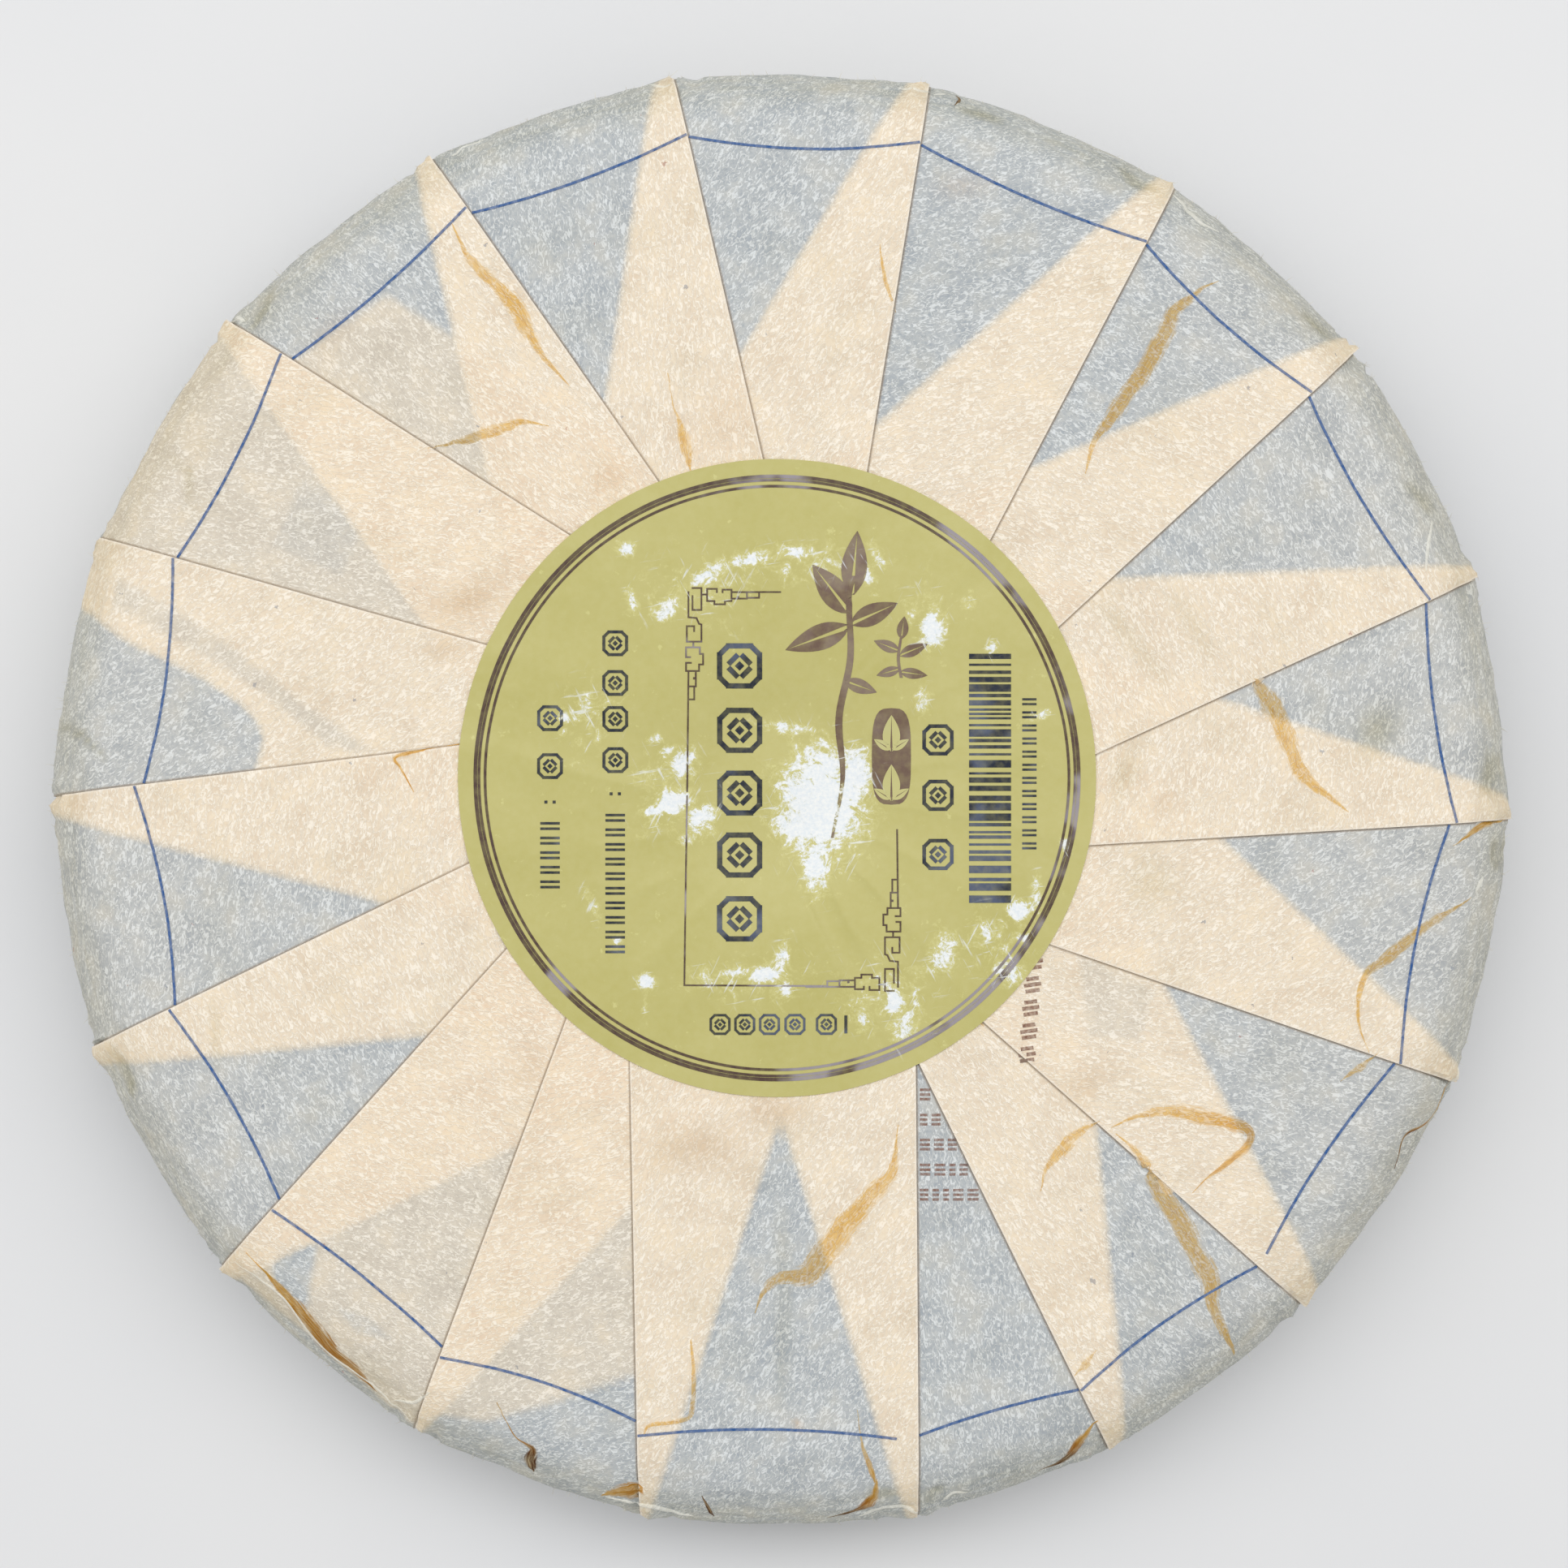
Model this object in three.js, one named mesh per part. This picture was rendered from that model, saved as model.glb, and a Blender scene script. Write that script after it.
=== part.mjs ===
// A round pressed tea cake in its paper wrapper, lying on its smooth front.
// The gathered back faces up: pleats run in from the rim to a round label.
// Millimetres, +Z up, origin at the middle of the flat spot it rests on, under the cake's axis.
// Angles are clockwise from +Y, seen from above.

import * as THREE from "three";

// The wrapped cake's outer form.
const CAKE_RADIUS = 99.4;
const CAKE_HEIGHT = 24;
const REST_RADIUS = 60;
const WIDEST_HEIGHT = 13;
const FLAT_TOP_RADIUS = 86;
const CENTRE_FAN_RADIUS = 5;

// The dimple pressed in the back, and the twist of gathered paper in it.
const DIMPLE_RADIUS = 25;
const DIMPLE_DEPTH = 2.2;
const TWIST_RADIUS = 10;
const TWIST_HEIGHT = 1.3;

// The pleats: how far a folded edge stands above the paper beside it.
const FOLD_STEP = 0.45;
const STEP_WIDTH = 0.3;
const PLEAT_WIDTH_SLOPE = 0.349;
const PLEAT_VANISHING_RADIUS = 106.5;
const FOLD_LINE_RIM_RADIUS = 98;
const GATHER_RADIUS = 41.5;

// The rim: a small paper corner where each fold starts, and flatter stretches between.
const CORNER_REACH = 0.9;
const CORNER_WIDTH = 2.2;
const FACET_DEPTH = 0.45;

// The round label stuck over the gathered paper, a little off the cake's axis.
const LABEL_RADIUS = 42.6;
const LABEL_THICKNESS = 0.25;
const LABEL_CENTRE = new THREE.Vector2(-0.5, 2.9);
const GAP = 0.3;

// Mesh fineness.
const UNDERSIDE_RINGS = 6;
const RIM_RINGS = 7;
const TOP_RINGS = 9;
const INNER_RINGS = 7;
const PLEAT_COLUMNS = [0, 0.07, 0.3, 0.55, 0.78, 0.93, 1];
const LABEL_SEGMENTS = 72;
const LABEL_RINGS = 9;

// One row a fold: its angle at the rim, in degrees, and how far its line passes from the axis.
// A plus sign turns the line clockwise on its way in.
const FOLDS = [
  { rim: 11.8, pass: 4.3 },
  { rim: 32.8, pass: 8.6 },
  { rim: 52.1, pass: 8.2 },
  { rim: 72.4, pass: 12.0 },
  { rim: 91.6, pass: 8.5 },
  { rim: 112.8, pass: 6.6 },
  { rim: 134.1, pass: 4.2 },
  { rim: 153.2, pass: -1.0 },
  { rim: 169.1, pass: -17.8 },
  { rim: 191.2, pass: 20.8 },
  { rim: 210.3, pass: 16.5 },
  { rim: 230.2, pass: 13.8 },
  { rim: 250.3, pass: 10.5 },
  { rim: 270.3, pass: 12.5 },
  { rim: 291.1, pass: 9.3 },
  { rim: 311.0, pass: 14.8 },
  { rim: 331.5, pass: 10.9 },
  { rim: 351.6, pass: 8.0 },
];

// Every fold laps over the next pleat but this one, which laps back over the one before it.
const BACKWARD_FOLD = 8;

const { clamp, degToRad, lerp, smoothstep } = THREE.MathUtils;
const TURN = 2 * Math.PI;
const PITCH = TURN / FOLDS.length;

// A bell of height 1 at the middle that reaches 0 at the given radius.
function bell(distance, radius) {
  return distance < radius ? 0.5 * (1 + Math.cos((Math.PI * distance) / radius)) : 0;
}

// The depth of the dimple at a distance from the label's centre, with the twist of paper in it.
function dimpleDepth(distance) {
  return DIMPLE_DEPTH * bell(distance, DIMPLE_RADIUS) - TWIST_HEIGHT * bell(distance, TWIST_RADIUS);
}

// The direction of a fold at a radius: a straight line outside the gather, spokes inside it.
function foldDirection(index, radius) {
  const { rim, pass } = FOLDS[index];
  const reach = Math.max(radius, GATHER_RADIUS);
  const straight = degToRad(rim) + Math.asin(pass / reach) - Math.asin(pass / FOLD_LINE_RIM_RADIUS);
  const spoke = degToRad(FOLDS[0].rim) + index * PITCH;
  return lerp(spoke, straight, Math.min(1, radius / GATHER_RADIUS));
}

// Column k of pleat i at a radius: its direction, and how far the paper there is lifted.
function pleatColumn(index, fraction, radius) {
  const half = STEP_WIDTH / (2 * radius);
  const start = foldDirection(index, radius) + half;
  const last = index === FOLDS.length - 1;
  const end = foldDirection(last ? 0 : index + 1, radius) + (last ? TURN : 0) - half;
  const span = end - start;
  const width = (PLEAT_WIDTH_SLOPE * (PLEAT_VANISHING_RADIUS - radius)) / radius;
  const ramp = clamp(width / span, 0.1, 1);
  let lift = smoothstep(fraction, 1 - ramp, 1);
  if (index === BACKWARD_FOLD - 1) lift = 0;
  if (index === BACKWARD_FOLD) lift = Math.max(lift, 1 - smoothstep(fraction, 0, ramp));
  const toFold = Math.min(fraction, 1 - fraction) * span * radius;
  return { direction: start + fraction * span, lift, fraction, toFold };
}

// The rings of the outer form from the flat spot over the rim to the middle of the back.
// A ring's share says how much of the folds' relief, and of the paper corners, it carries.
function outlineRings() {
  const rings = [];
  for (let i = 0; i <= UNDERSIDE_RINGS; i++) {
    const turn = (i / UNDERSIDE_RINGS) * (Math.PI / 2);
    rings.push({
      radius: REST_RADIUS + (CAKE_RADIUS - REST_RADIUS) * Math.sin(turn),
      height: WIDEST_HEIGHT * (1 - Math.cos(turn)),
      relief: 0,
      corner: Math.pow(i / UNDERSIDE_RINGS, 4),
    });
  }
  for (let i = 1; i <= RIM_RINGS; i++) {
    const turn = (i / RIM_RINGS) * (Math.PI / 2);
    rings.push({
      radius: FLAT_TOP_RADIUS + (CAKE_RADIUS - FLAT_TOP_RADIUS) * Math.cos(turn),
      height: WIDEST_HEIGHT + (CAKE_HEIGHT - WIDEST_HEIGHT) * Math.sin(turn),
      relief: smoothstep(i, 0, 3),
      corner: 1 - smoothstep(i, 1, 5),
    });
  }
  for (let i = 1; i <= TOP_RINGS; i++) {
    const radius = lerp(FLAT_TOP_RADIUS, GATHER_RADIUS, i / TOP_RINGS);
    rings.push({ radius, height: CAKE_HEIGHT, relief: 1, corner: 0 });
  }
  for (let i = 1; i <= INNER_RINGS; i++) {
    const radius = lerp(GATHER_RADIUS, CENTRE_FAN_RADIUS, i / INNER_RINGS);
    rings.push({ radius, height: CAKE_HEIGHT, relief: i > 1 ? 0 : 0.5, corner: 0 });
  }
  return rings;
}

// One point of the wrapped cake.
function wrapperPoint(ring, column) {
  const corner = CORNER_REACH * Math.max(0, 1 - column.toFold / CORNER_WIDTH);
  const facet = FACET_DEPTH * Math.sin(Math.PI * column.fraction);
  const radius = ring.radius + ring.corner * (corner - facet);
  const x = radius * Math.sin(column.direction);
  const y = radius * Math.cos(column.direction);
  const onBack = ring.height === CAKE_HEIGHT;
  const dip = onBack ? dimpleDepth(Math.hypot(x - LABEL_CENTRE.x, y - LABEL_CENTRE.y)) : 0;
  return [x, y, ring.height - dip + FOLD_STEP * ring.relief * column.lift];
}

// Joins rings of points, and a middle point at either end, into one closed surface.
function closedSurface(first, rings, last) {
  const count = rings[0].length;
  const points = [first, ...rings.flat(), last];
  const faces = [];
  for (let k = 0; k < count; k++) {
    const next = (k + 1) % count;
    faces.push([0, 1 + k, 1 + next]);
    for (let i = 0; i + 1 < rings.length; i++) {
      const lower = 1 + i * count;
      const upper = lower + count;
      faces.push([lower + k, upper + k, upper + next]);
      faces.push([lower + k, upper + next, lower + next]);
    }
    const edge = 1 + (rings.length - 1) * count;
    faces.push([points.length - 1, edge + next, edge + k]);
  }
  const geometry = new THREE.BufferGeometry();
  geometry.setAttribute("position", new THREE.Float32BufferAttribute(points.flat(), 3));
  geometry.setIndex(faces.flat());
  geometry.computeVertexNormals();
  return geometry;
}

// The cake in its wrapper: one solid with every pleat as a step in its surface.
function wrappedCake() {
  const rings = outlineRings().map((ring) =>
    FOLDS.flatMap((_, index) =>
      PLEAT_COLUMNS.map((fraction) => wrapperPoint(ring, pleatColumn(index, fraction, ring.radius))),
    ),
  );
  const middle = CAKE_HEIGHT - dimpleDepth(LABEL_CENTRE.length());
  const geometry = closedSurface([0, 0, 0], rings, [0, 0, middle]);
  const paper = new THREE.MeshStandardMaterial({ color: 0xd8cfbd, roughness: 0.85, metalness: 0 });
  return new THREE.Mesh(geometry, paper);
}

// The label: a thin disc that follows the dimple and lies just clear of the highest folds.
function roundLabel() {
  const under = (distance) => CAKE_HEIGHT + FOLD_STEP + GAP - dimpleDepth(distance);
  const profile = [];
  for (let i = 0; i <= LABEL_RINGS; i++) {
    const distance = (LABEL_RADIUS * i) / LABEL_RINGS;
    profile.push(new THREE.Vector2(distance, under(distance)));
  }
  for (let i = LABEL_RINGS; i >= 0; i--) {
    const distance = (LABEL_RADIUS * i) / LABEL_RINGS;
    profile.push(new THREE.Vector2(distance, under(distance) + LABEL_THICKNESS));
  }
  const geometry = new THREE.LatheGeometry(profile, LABEL_SEGMENTS);
  geometry.rotateX(Math.PI / 2);
  const print = new THREE.MeshStandardMaterial({ color: 0xc4c084, roughness: 0.5, metalness: 0 });
  const mesh = new THREE.Mesh(geometry, print);
  mesh.position.set(LABEL_CENTRE.x, LABEL_CENTRE.y, 0);
  return mesh;
}

const teaCake = new THREE.Group();
const pieces = { wrapped_cake: wrappedCake(), round_label: roundLabel() };
for (const [name, mesh] of Object.entries(pieces)) {
  mesh.name = name;
  teaCake.add(mesh);
}

export default teaCake;
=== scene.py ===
"""A pressed tea cake in its pleated paper wrapper, with a round label over the gathered pleats.

The wrapped cake lies on its smooth front, back up. Sizes are millimetres until a mesh is made, and
angles are clockwise from +Y, seen from above. Pleat i lies between fold i and fold i + 1.
"""

import logging
import math
from dataclasses import dataclass, field
from enum import Enum

import bmesh
import bpy
import numpy as np
from mathutils import Matrix, Vector
from mathutils.bvhtree import BVHTree


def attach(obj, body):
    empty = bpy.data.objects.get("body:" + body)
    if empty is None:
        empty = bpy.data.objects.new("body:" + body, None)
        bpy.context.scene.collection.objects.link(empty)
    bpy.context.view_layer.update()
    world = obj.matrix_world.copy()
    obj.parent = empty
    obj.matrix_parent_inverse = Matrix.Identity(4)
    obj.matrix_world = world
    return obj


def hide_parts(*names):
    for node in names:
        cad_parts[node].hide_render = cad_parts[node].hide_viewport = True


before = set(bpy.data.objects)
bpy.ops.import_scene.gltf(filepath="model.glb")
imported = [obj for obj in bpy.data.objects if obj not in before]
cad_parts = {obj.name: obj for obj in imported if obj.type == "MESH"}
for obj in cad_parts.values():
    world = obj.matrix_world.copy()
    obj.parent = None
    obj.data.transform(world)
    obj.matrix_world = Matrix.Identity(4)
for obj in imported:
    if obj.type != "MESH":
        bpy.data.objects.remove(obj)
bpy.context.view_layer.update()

LOG = logging.getLogger("tea_cake")
MM = 0.001
TURN = 2 * math.pi
PHOTO_SIDE = 1932

# The distance in millimetres that stands for no edge near by.
FAR = 9.0

# The most layers of paper that the wrapper's tones tell apart.
MOST_LAYERS = 5.0

Array = np.ndarray
Values = dict[str, Array]
Tone = tuple[float, float, float, float]
Point = tuple[float, float]
Route = tuple[Point, ...]
Faces = list[list[int]]
Triple = tuple[float, float, float]
Numbers = tuple[float, ...]
Piece = bpy.types.Object
Finish = bpy.types.Material
Socket = bpy.types.NodeSocket


def smooth(value: Array, low: float, high: float) -> Array:
    """A soft step from 0 at low to 1 at high."""
    share = np.clip((value - low) / (high - low), 0.0, 1.0)
    return share * share * (3.0 - 2.0 * share)


def bell(distance: Array, radius: float) -> Array:
    """A bump of height 1 in the middle that reaches 0 at the radius."""
    rise = 0.5 + 0.5 * np.cos(np.pi * np.minimum(distance, radius) / radius)
    return np.where(distance < radius, rise, 0.0)


def srgb(red: float, green: float, blue: float) -> Tone:
    """The linear colour of a display colour given from 0 to 255.

    Args:
        red, green, blue: The colour's parts.

    Returns:
        The colour as Blender's sockets take it, with full alpha.
    """
    parts = [part / 255.0 for part in (red, green, blue)]
    linear = [part / 12.92 if part <= 0.04045 else ((part + 0.055) / 1.055) ** 2.4 for part in parts]
    return (*linear, 1.0)


@dataclass(frozen=True)
class Lumps:
    """Seeded smooth noise in space, for relief that meshes carry."""

    seed: int
    cell: Triple
    table_size: int = 4096
    factors: tuple[int, int, int] = (73856093, 19349663, 83492791)

    def at(self, x: Array, y: Array, z: Array) -> Array:
        """The noise, from -1 to 1, at these places.

        Args:
            x, y, z: Places in millimetres.

        Returns:
            One value for each place.
        """
        table = np.random.default_rng(self.seed).uniform(-1.0, 1.0, self.table_size)
        scaled = [place / size for place, size in zip((x, y, z), self.cell)]
        whole = [np.floor(place).astype(np.int64) for place in scaled]
        part = [place - base for place, base in zip(scaled, whole)]
        ease = [share * share * (3.0 - 2.0 * share) for share in part]
        total = np.zeros(np.broadcast(x, y, z).shape)
        for corner in range(8):
            bits = [(corner >> axis) & 1 for axis in range(3)]
            keys = [(base + bit) * factor for base, bit, factor in zip(whole, bits, self.factors)]
            weight = np.ones_like(total)
            for axis, bit in enumerate(bits):
                weight = weight * (ease[axis] if bit else 1.0 - ease[axis])
            total = total + weight * table[(keys[0] ^ keys[1] ^ keys[2]) % self.table_size]
        return total

    def ridges(self, x: Array, y: Array, z: Array) -> Array:
        """Sharp ridges between soft hollows, about 0 on average and 0.65 at the ridges."""
        return 0.65 - 2.0 * np.abs(self.at(x, y, z))


@dataclass(frozen=True)
class Pleat:
    """A fold of the wrapper, and the printed line on the pleat that follows it.

    A folded edge, and the hidden edge of the lap under it, are straight lines: each has its angle
    at the rim, in degrees, and how far it passes from the axis. The line's radii are at this fold,
    at its lowest and at the next fold.
    """

    rim: float
    passing: float
    hidden_rim: float
    hidden_passing: float
    line_start: float
    line_low: float
    line_end: float


PLEATS = tuple(Pleat(*row) for row in (
    (11.8, 4.3, 10.0, -35.3, 89.6, 87.0, 89.2),
    (32.8, 8.6, 31.2, -28.7, 88.9, 86.9, 89.5),
    (52.1, 8.2, 50.5, -27.4, 88.9, 87.3, 90.9),
    (72.4, 12.0, 71.3, -27.7, 90.3, 88.2, 90.5),
    (91.6, 8.5, 89.7, -30.9, 89.5, 87.0, 90.1),
    (112.8, 6.6, 111.4, -36.4, 89.4, 86.8, 88.9),
    (134.1, 4.2, 132.2, -33.9, 89.2, 86.6, 88.6),
    (153.2, -1.0, 151.8, -37.6, 88.4, 86.4, 87.0),
    (169.1, -17.8, 170.0, 12.4, 86.8, 84.2, 87.1),
    (191.2, 20.8, 190.5, -13.1, 85.3, 84.0, 87.3),
    (210.3, 16.5, 209.65, -21.7, 86.0, 84.7, 87.3),
    (230.2, 13.8, 228.8, -26.1, 85.7, 83.8, 86.4),
    (250.3, 10.5, 248.7, -26.8, 85.5, 83.5, 86.4),
    (270.3, 12.5, 268.8, -26.4, 85.2, 83.7, 87.4),
    (291.1, 9.3, 285.0, -27.0, 86.9, 85.7, 89.6),
    (311.0, 14.8, 309.7, -25.0, 88.0, 86.6, 89.7),
    (331.5, 10.9, 329.9, -27.3, 88.7, 87.0, 89.9),
    (351.6, 8.0, 350.0, -30.8, 89.6, 87.1, 89.9),
))

# Every fold laps over the next pleat but this one, which laps back over the one before it.
BACKWARD_FOLD = 8


@dataclass(frozen=True)
class Tuck:
    """A corner of paper folded in under one pleat: its outline as (angle, radius) pairs, and its layers."""

    pleat: int
    outline: Route
    layers: float = 1.0


TUCKS = tuple(Tuck(*row) for row in (
    (5, ((117, 40), (117, 56), (124, 58), (130, 48), (131, 40)), -0.7),
    (9, ((188, 72), (194.1, 79.2), (205.3, 92.2), (214, 98), (236, 38), (198, 38))),
    (10, ((203, 101), (236, 101), (252, 38), (206, 38))),
    (10, ((226.4, 85.6), (223.4, 92.2), (223.1, 94), (226.5, 94), (228.4, 91), (227.7, 88.3)), -1.2),
    (10, ((216, 89), (218.5, 91.2), (221, 90.2), (218.5, 88.4)), -0.5),
    (13, ((288.6, 93.8), (287, 82.1), (285, 73.9), (281.7, 65.6), (276.7, 54.6), (276.4, 60.3),
          (281.3, 69.9), (283.8, 78.7), (285.1, 85.8), (286.1, 93.6)), -1),
    (14, ((280, 104), (314, 104), (325, 38), (285, 38))),
    (14, ((296.5, 76), (304, 77), (305, 67), (297, 66)), -0.35),
    (15, ((300, 90), (312, 87.6), (322, 85.7), (324.7, 75.9), (333, 60), (340, 38), (308, 38))),
))

# One lap was folded with a curved hidden edge: its pleat, and its outline as (angle, radius) pairs.
CURVED_LAP_PLEAT = 13
CURVED_LAP = (
    (262, 70.5), (273.6, 70.1), (276.6, 69.5), (278.3, 70.3), (280.2, 73.3), (281.9, 78.8), (283.0, 85.0),
    (283.8, 90.8), (285.0, 95.9), (286.0, 104), (296, 104), (300, 38), (262, 38),
)


@dataclass(frozen=True)
class Crease:
    """A soft crease in the wrapper: its route in the photograph's pixels, its rise in millimetres
    (below zero for a dent), its half width, and how much painted shade, olive in tone, darkens the paper in
    it."""

    route: Route
    rise: float
    half_width: float = 0.7
    olive: float = 0.0


# The last number of a crease is painted shade, olive in tone, that darkens its dent.
CREASES = tuple(Crease(*row) for row in (
    (((66, 893), (100, 905), (120, 925), (133, 938)), -0.2, 0.5, 0.8),
    (((263, 1235), (266, 1260), (266, 1290), (268, 1320)), -0.14, 0.6, 0.5),
    (((135, 1290), (150, 1310), (165, 1345)), -0.14, 0.8, 0.7),
    (((640, 1730), (670, 1727), (700, 1720)), 0.16),
    (((1065, 1845), (1085, 1840), (1110, 1840)), -0.25, 0.9, 0.8),
    (((1140, 1850), (1150, 1838), (1165, 1832)), -0.25, 0.7, 0.7),
    (((1843, 925), (1835, 960), (1830, 985)), -0.3, 1.3, 0.8),
    (((1843, 1030), (1841, 1060), (1846, 1075)), -0.25, 0.5, 0.8),
    (((1856, 1025), (1853, 1045), (1847, 1073)), -0.25, 0.5, 0.6),
    (((1605, 380), (1625, 400), (1645, 420)), -0.3, 0.7, 0.9),
    (((1680, 460), (1700, 500), (1725, 535), (1745, 580)), 0.25, 0.8),
    (((1735, 590), (1755, 612), (1768, 632)), -0.2, 1, 0.7),
    (((1380, 200), (1400, 225), (1425, 232)), -0.3, 0.8, 0.8),
    (((1175, 128), (1200, 138), (1240, 147)), -0.2, 0.8, 0.8),
    (((335, 350), (325, 380), (305, 405)), -0.25, 0.8, 0.8),
    (((200, 560), (232, 578), (233, 620)), -0.14, 0.6, 0.6),
    (((289, 1554), (349, 1599), (394, 1656), (460, 1707), (508, 1752)), 0.2, 1.4),
    (((1345, 735), (1385, 775), (1415, 815), (1445, 850)), -0.13, 1.3, 0.4),
    (((1440, 725), (1470, 770), (1500, 820)), -0.11, 1.3, 0.35),
    (((1545, 735), (1575, 775), (1590, 800)), -0.09, 1.3, 0.2),
    (((1715, 1178), (1760, 1195), (1800, 1190)), 0.1, 1.6),
    (((962, 1480), (966, 1600), (962, 1740)), -0.08, 1, 0.45),
    (((1170, 245), (1200, 225), (1245, 212)), 0.12, 1.2),
    (((230, 560), (330, 520), (420, 470)), -0.07, 1.8, 0.15),
    (((1150, 1640), (1180, 1700), (1190, 1790)), 0.07, 1.8),
))


@dataclass(frozen=True)
class Stain:
    """A soft stain: its middle and half widths in millimetres, its turn in degrees, and its strength,
    brown above zero and olive below."""

    x: float
    y: float
    half_length: float
    half_width: float
    turn: float = 0.0
    strength: float = 0.5


STAINS = tuple(Stain(*row) for row in (
    (79.8, 9.4, 3.6, 2.7, 60, -0.9),
    (45.9, 3.8, 4, 1.8, 75, -0.5),
    (51.3, -0.3, 2, 1.2, 60, 0.25),
    (49.5, -11, 4.5, 3, -30, -0.35),
    (-42, 26.5, 4.5, 2.2, 20, 0.4),
    (-45, 20, 2.6, 1.6, 0, 0.25),
    (-11, -46.5, 6, 3, 10, 0.3),
    (-1, -41.5, 4, 2, 0, 0.35),
    (-33.5, -36, 3.5, 2, 40, 0.2),
    (-23, 43, 3, 2.4, 0, 0.22),
    (24, 82, 3, 1.5, 0, 0.18),
    (-60, 62.5, 4, 2, 45, 0.15),
    (41, -38, 3, 1.6, 35, 0.22),
    (-8.5, 50.5, 5, 5, 0, 0.14),
    (2.3, -83.6, 0.5, 0.8, 0, 0.4),
    (-87.6, -39, 0.6, 1.1, -20, -0.8),
    (-94.5, -0.5, 1.6, 1.2, 0, 0.3),
))


@dataclass
class WrapperForm:
    """The wrapped cake's form, the same as the solid's, with the pleats in full."""

    cake_radius: float = 99.4
    cake_height: float = 24.0
    rest_radius: float = 60.0
    widest_height: float = 13.0
    flat_top_radius: float = 86.0
    gather_radius: float = 39.4
    fan_radius: float = 4.0
    line_rim_radius: float = 98.0
    dimple_radius: float = 25.0
    dimple_depth: float = 2.2
    twist_radius: float = 10.0
    twist_height: float = 1.3
    label_centre: Point = (-0.5, 2.9)
    corner_reach: float = 0.6
    facet_depth: float = 0.45
    lap_step: float = 0.24
    edge_spring: float = 0.16
    # Extra layers on the right and left sides: painted light that makes the paper there lighter.
    right_lightening_layers: float = 0.2
    left_lightening_layers: float = 0.18
    underside_rings: int = 12
    rim_rings: int = 56
    top_rings: int = 56
    inner_rings: int = 12
    columns: int = 40
    gather_margin: float = 1.5
    no_lap: float = -20.0
    tuck_blur: float = 0.7
    tucked_range: Point = (-1.3, 2.0)
    lightening_span: Point = (30.0, 90.0)

    def dimple(self, x: Array, y: Array) -> Array:
        """How deep the back is pressed in at these places."""
        distance = np.hypot(x - self.label_centre[0], y - self.label_centre[1])
        return (self.dimple_depth * bell(distance, self.dimple_radius)
                - self.twist_height * bell(distance, self.twist_radius))

    def fold_direction(self, index: int, radius: Array) -> Array:
        """The direction of a fold's edge at these radii, in radians.

        Args:
            index: The fold, which may run past the last one, a turn further on.
            radius: Radii in millimetres.

        Returns:
            One direction for each radius.
        """
        turns, place = divmod(index, len(PLEATS))
        pleat = PLEATS[place]
        reach = np.maximum(radius, self.gather_radius)
        straight = math.radians(pleat.rim) + np.arcsin(pleat.passing / reach)
        straight = straight - math.asin(pleat.passing / self.line_rim_radius)
        spoke = math.radians(PLEATS[0].rim) + place * TURN / len(PLEATS)
        share = np.minimum(1.0, radius / self.gather_radius)
        return spoke + (straight - spoke) * share + turns * TURN

    def past_hidden_edge(self, index: int, x: Array, y: Array) -> Array:
        """How far places lie clockwise of a fold's hidden edge.

        Args:
            index: The fold, which may run past the last one.
            x, y: Places in millimetres.

        Returns:
            One distance in millimetres for each place.
        """
        pleat = PLEATS[index % len(PLEATS)]
        bearing = math.radians(pleat.hidden_rim) - math.asin(pleat.hidden_passing / self.line_rim_radius)
        return x * math.cos(bearing) - y * math.sin(bearing) - pleat.hidden_passing

    def laps(self, pleat: int, x: Array, y: Array) -> tuple[Array, Array]:
        """How far places on a pleat lie inside the nearest lap under it, and inside the one beyond.

        Args:
            pleat: The pleat's number.
            x, y: Places in millimetres.

        Returns:
            Two arrays of distances from the laps' hidden edges, negative outside the lap.
        """
        outside = np.full(np.shape(x), self.no_lap)
        follower, beyond = (pleat + 1) % len(PLEATS), (pleat + 2) % len(PLEATS)
        first = outside if follower == BACKWARD_FOLD else self.past_hidden_edge(follower, x, y)
        if pleat == BACKWARD_FOLD:
            first = np.maximum(first, -self.past_hidden_edge(BACKWARD_FOLD, x, y))
        if pleat == CURVED_LAP_PLEAT:
            first = inside_distance(on_plane(CURVED_LAP), x, y)
        if BACKWARD_FOLD in (follower, beyond):
            return first, outside
        return first, self.past_hidden_edge(beyond, x, y)

    def tucks_and_side_lightening(self, pleat: int, x: Array, y: Array) -> Array:
        """How many more layers the folded-in corners add to a pleat, and the extra layers that lighten its
        left and right sides as painted light.

        Args:
            pleat: The pleat's number.
            x, y: Places in millimetres.

        Returns:
            The layers for each place, below zero where the paper is thinner than it is around.
        """
        total = np.zeros(np.shape(x))
        for tuck in TUCKS:
            if tuck.pleat == pleat:
                inside = inside_distance(on_plane(tuck.outline), x, y)
                total = total + tuck.layers * smooth(inside, -self.tuck_blur, self.tuck_blur)
        # Painted light: extra layers on the left and right sides make the paper there lighter and creamier.
        total = np.clip(total, *self.tucked_range) + self.right_lightening_layers * smooth(x, *self.lightening_span)
        return total + self.left_lightening_layers * smooth(-x, *self.lightening_span)

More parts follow.
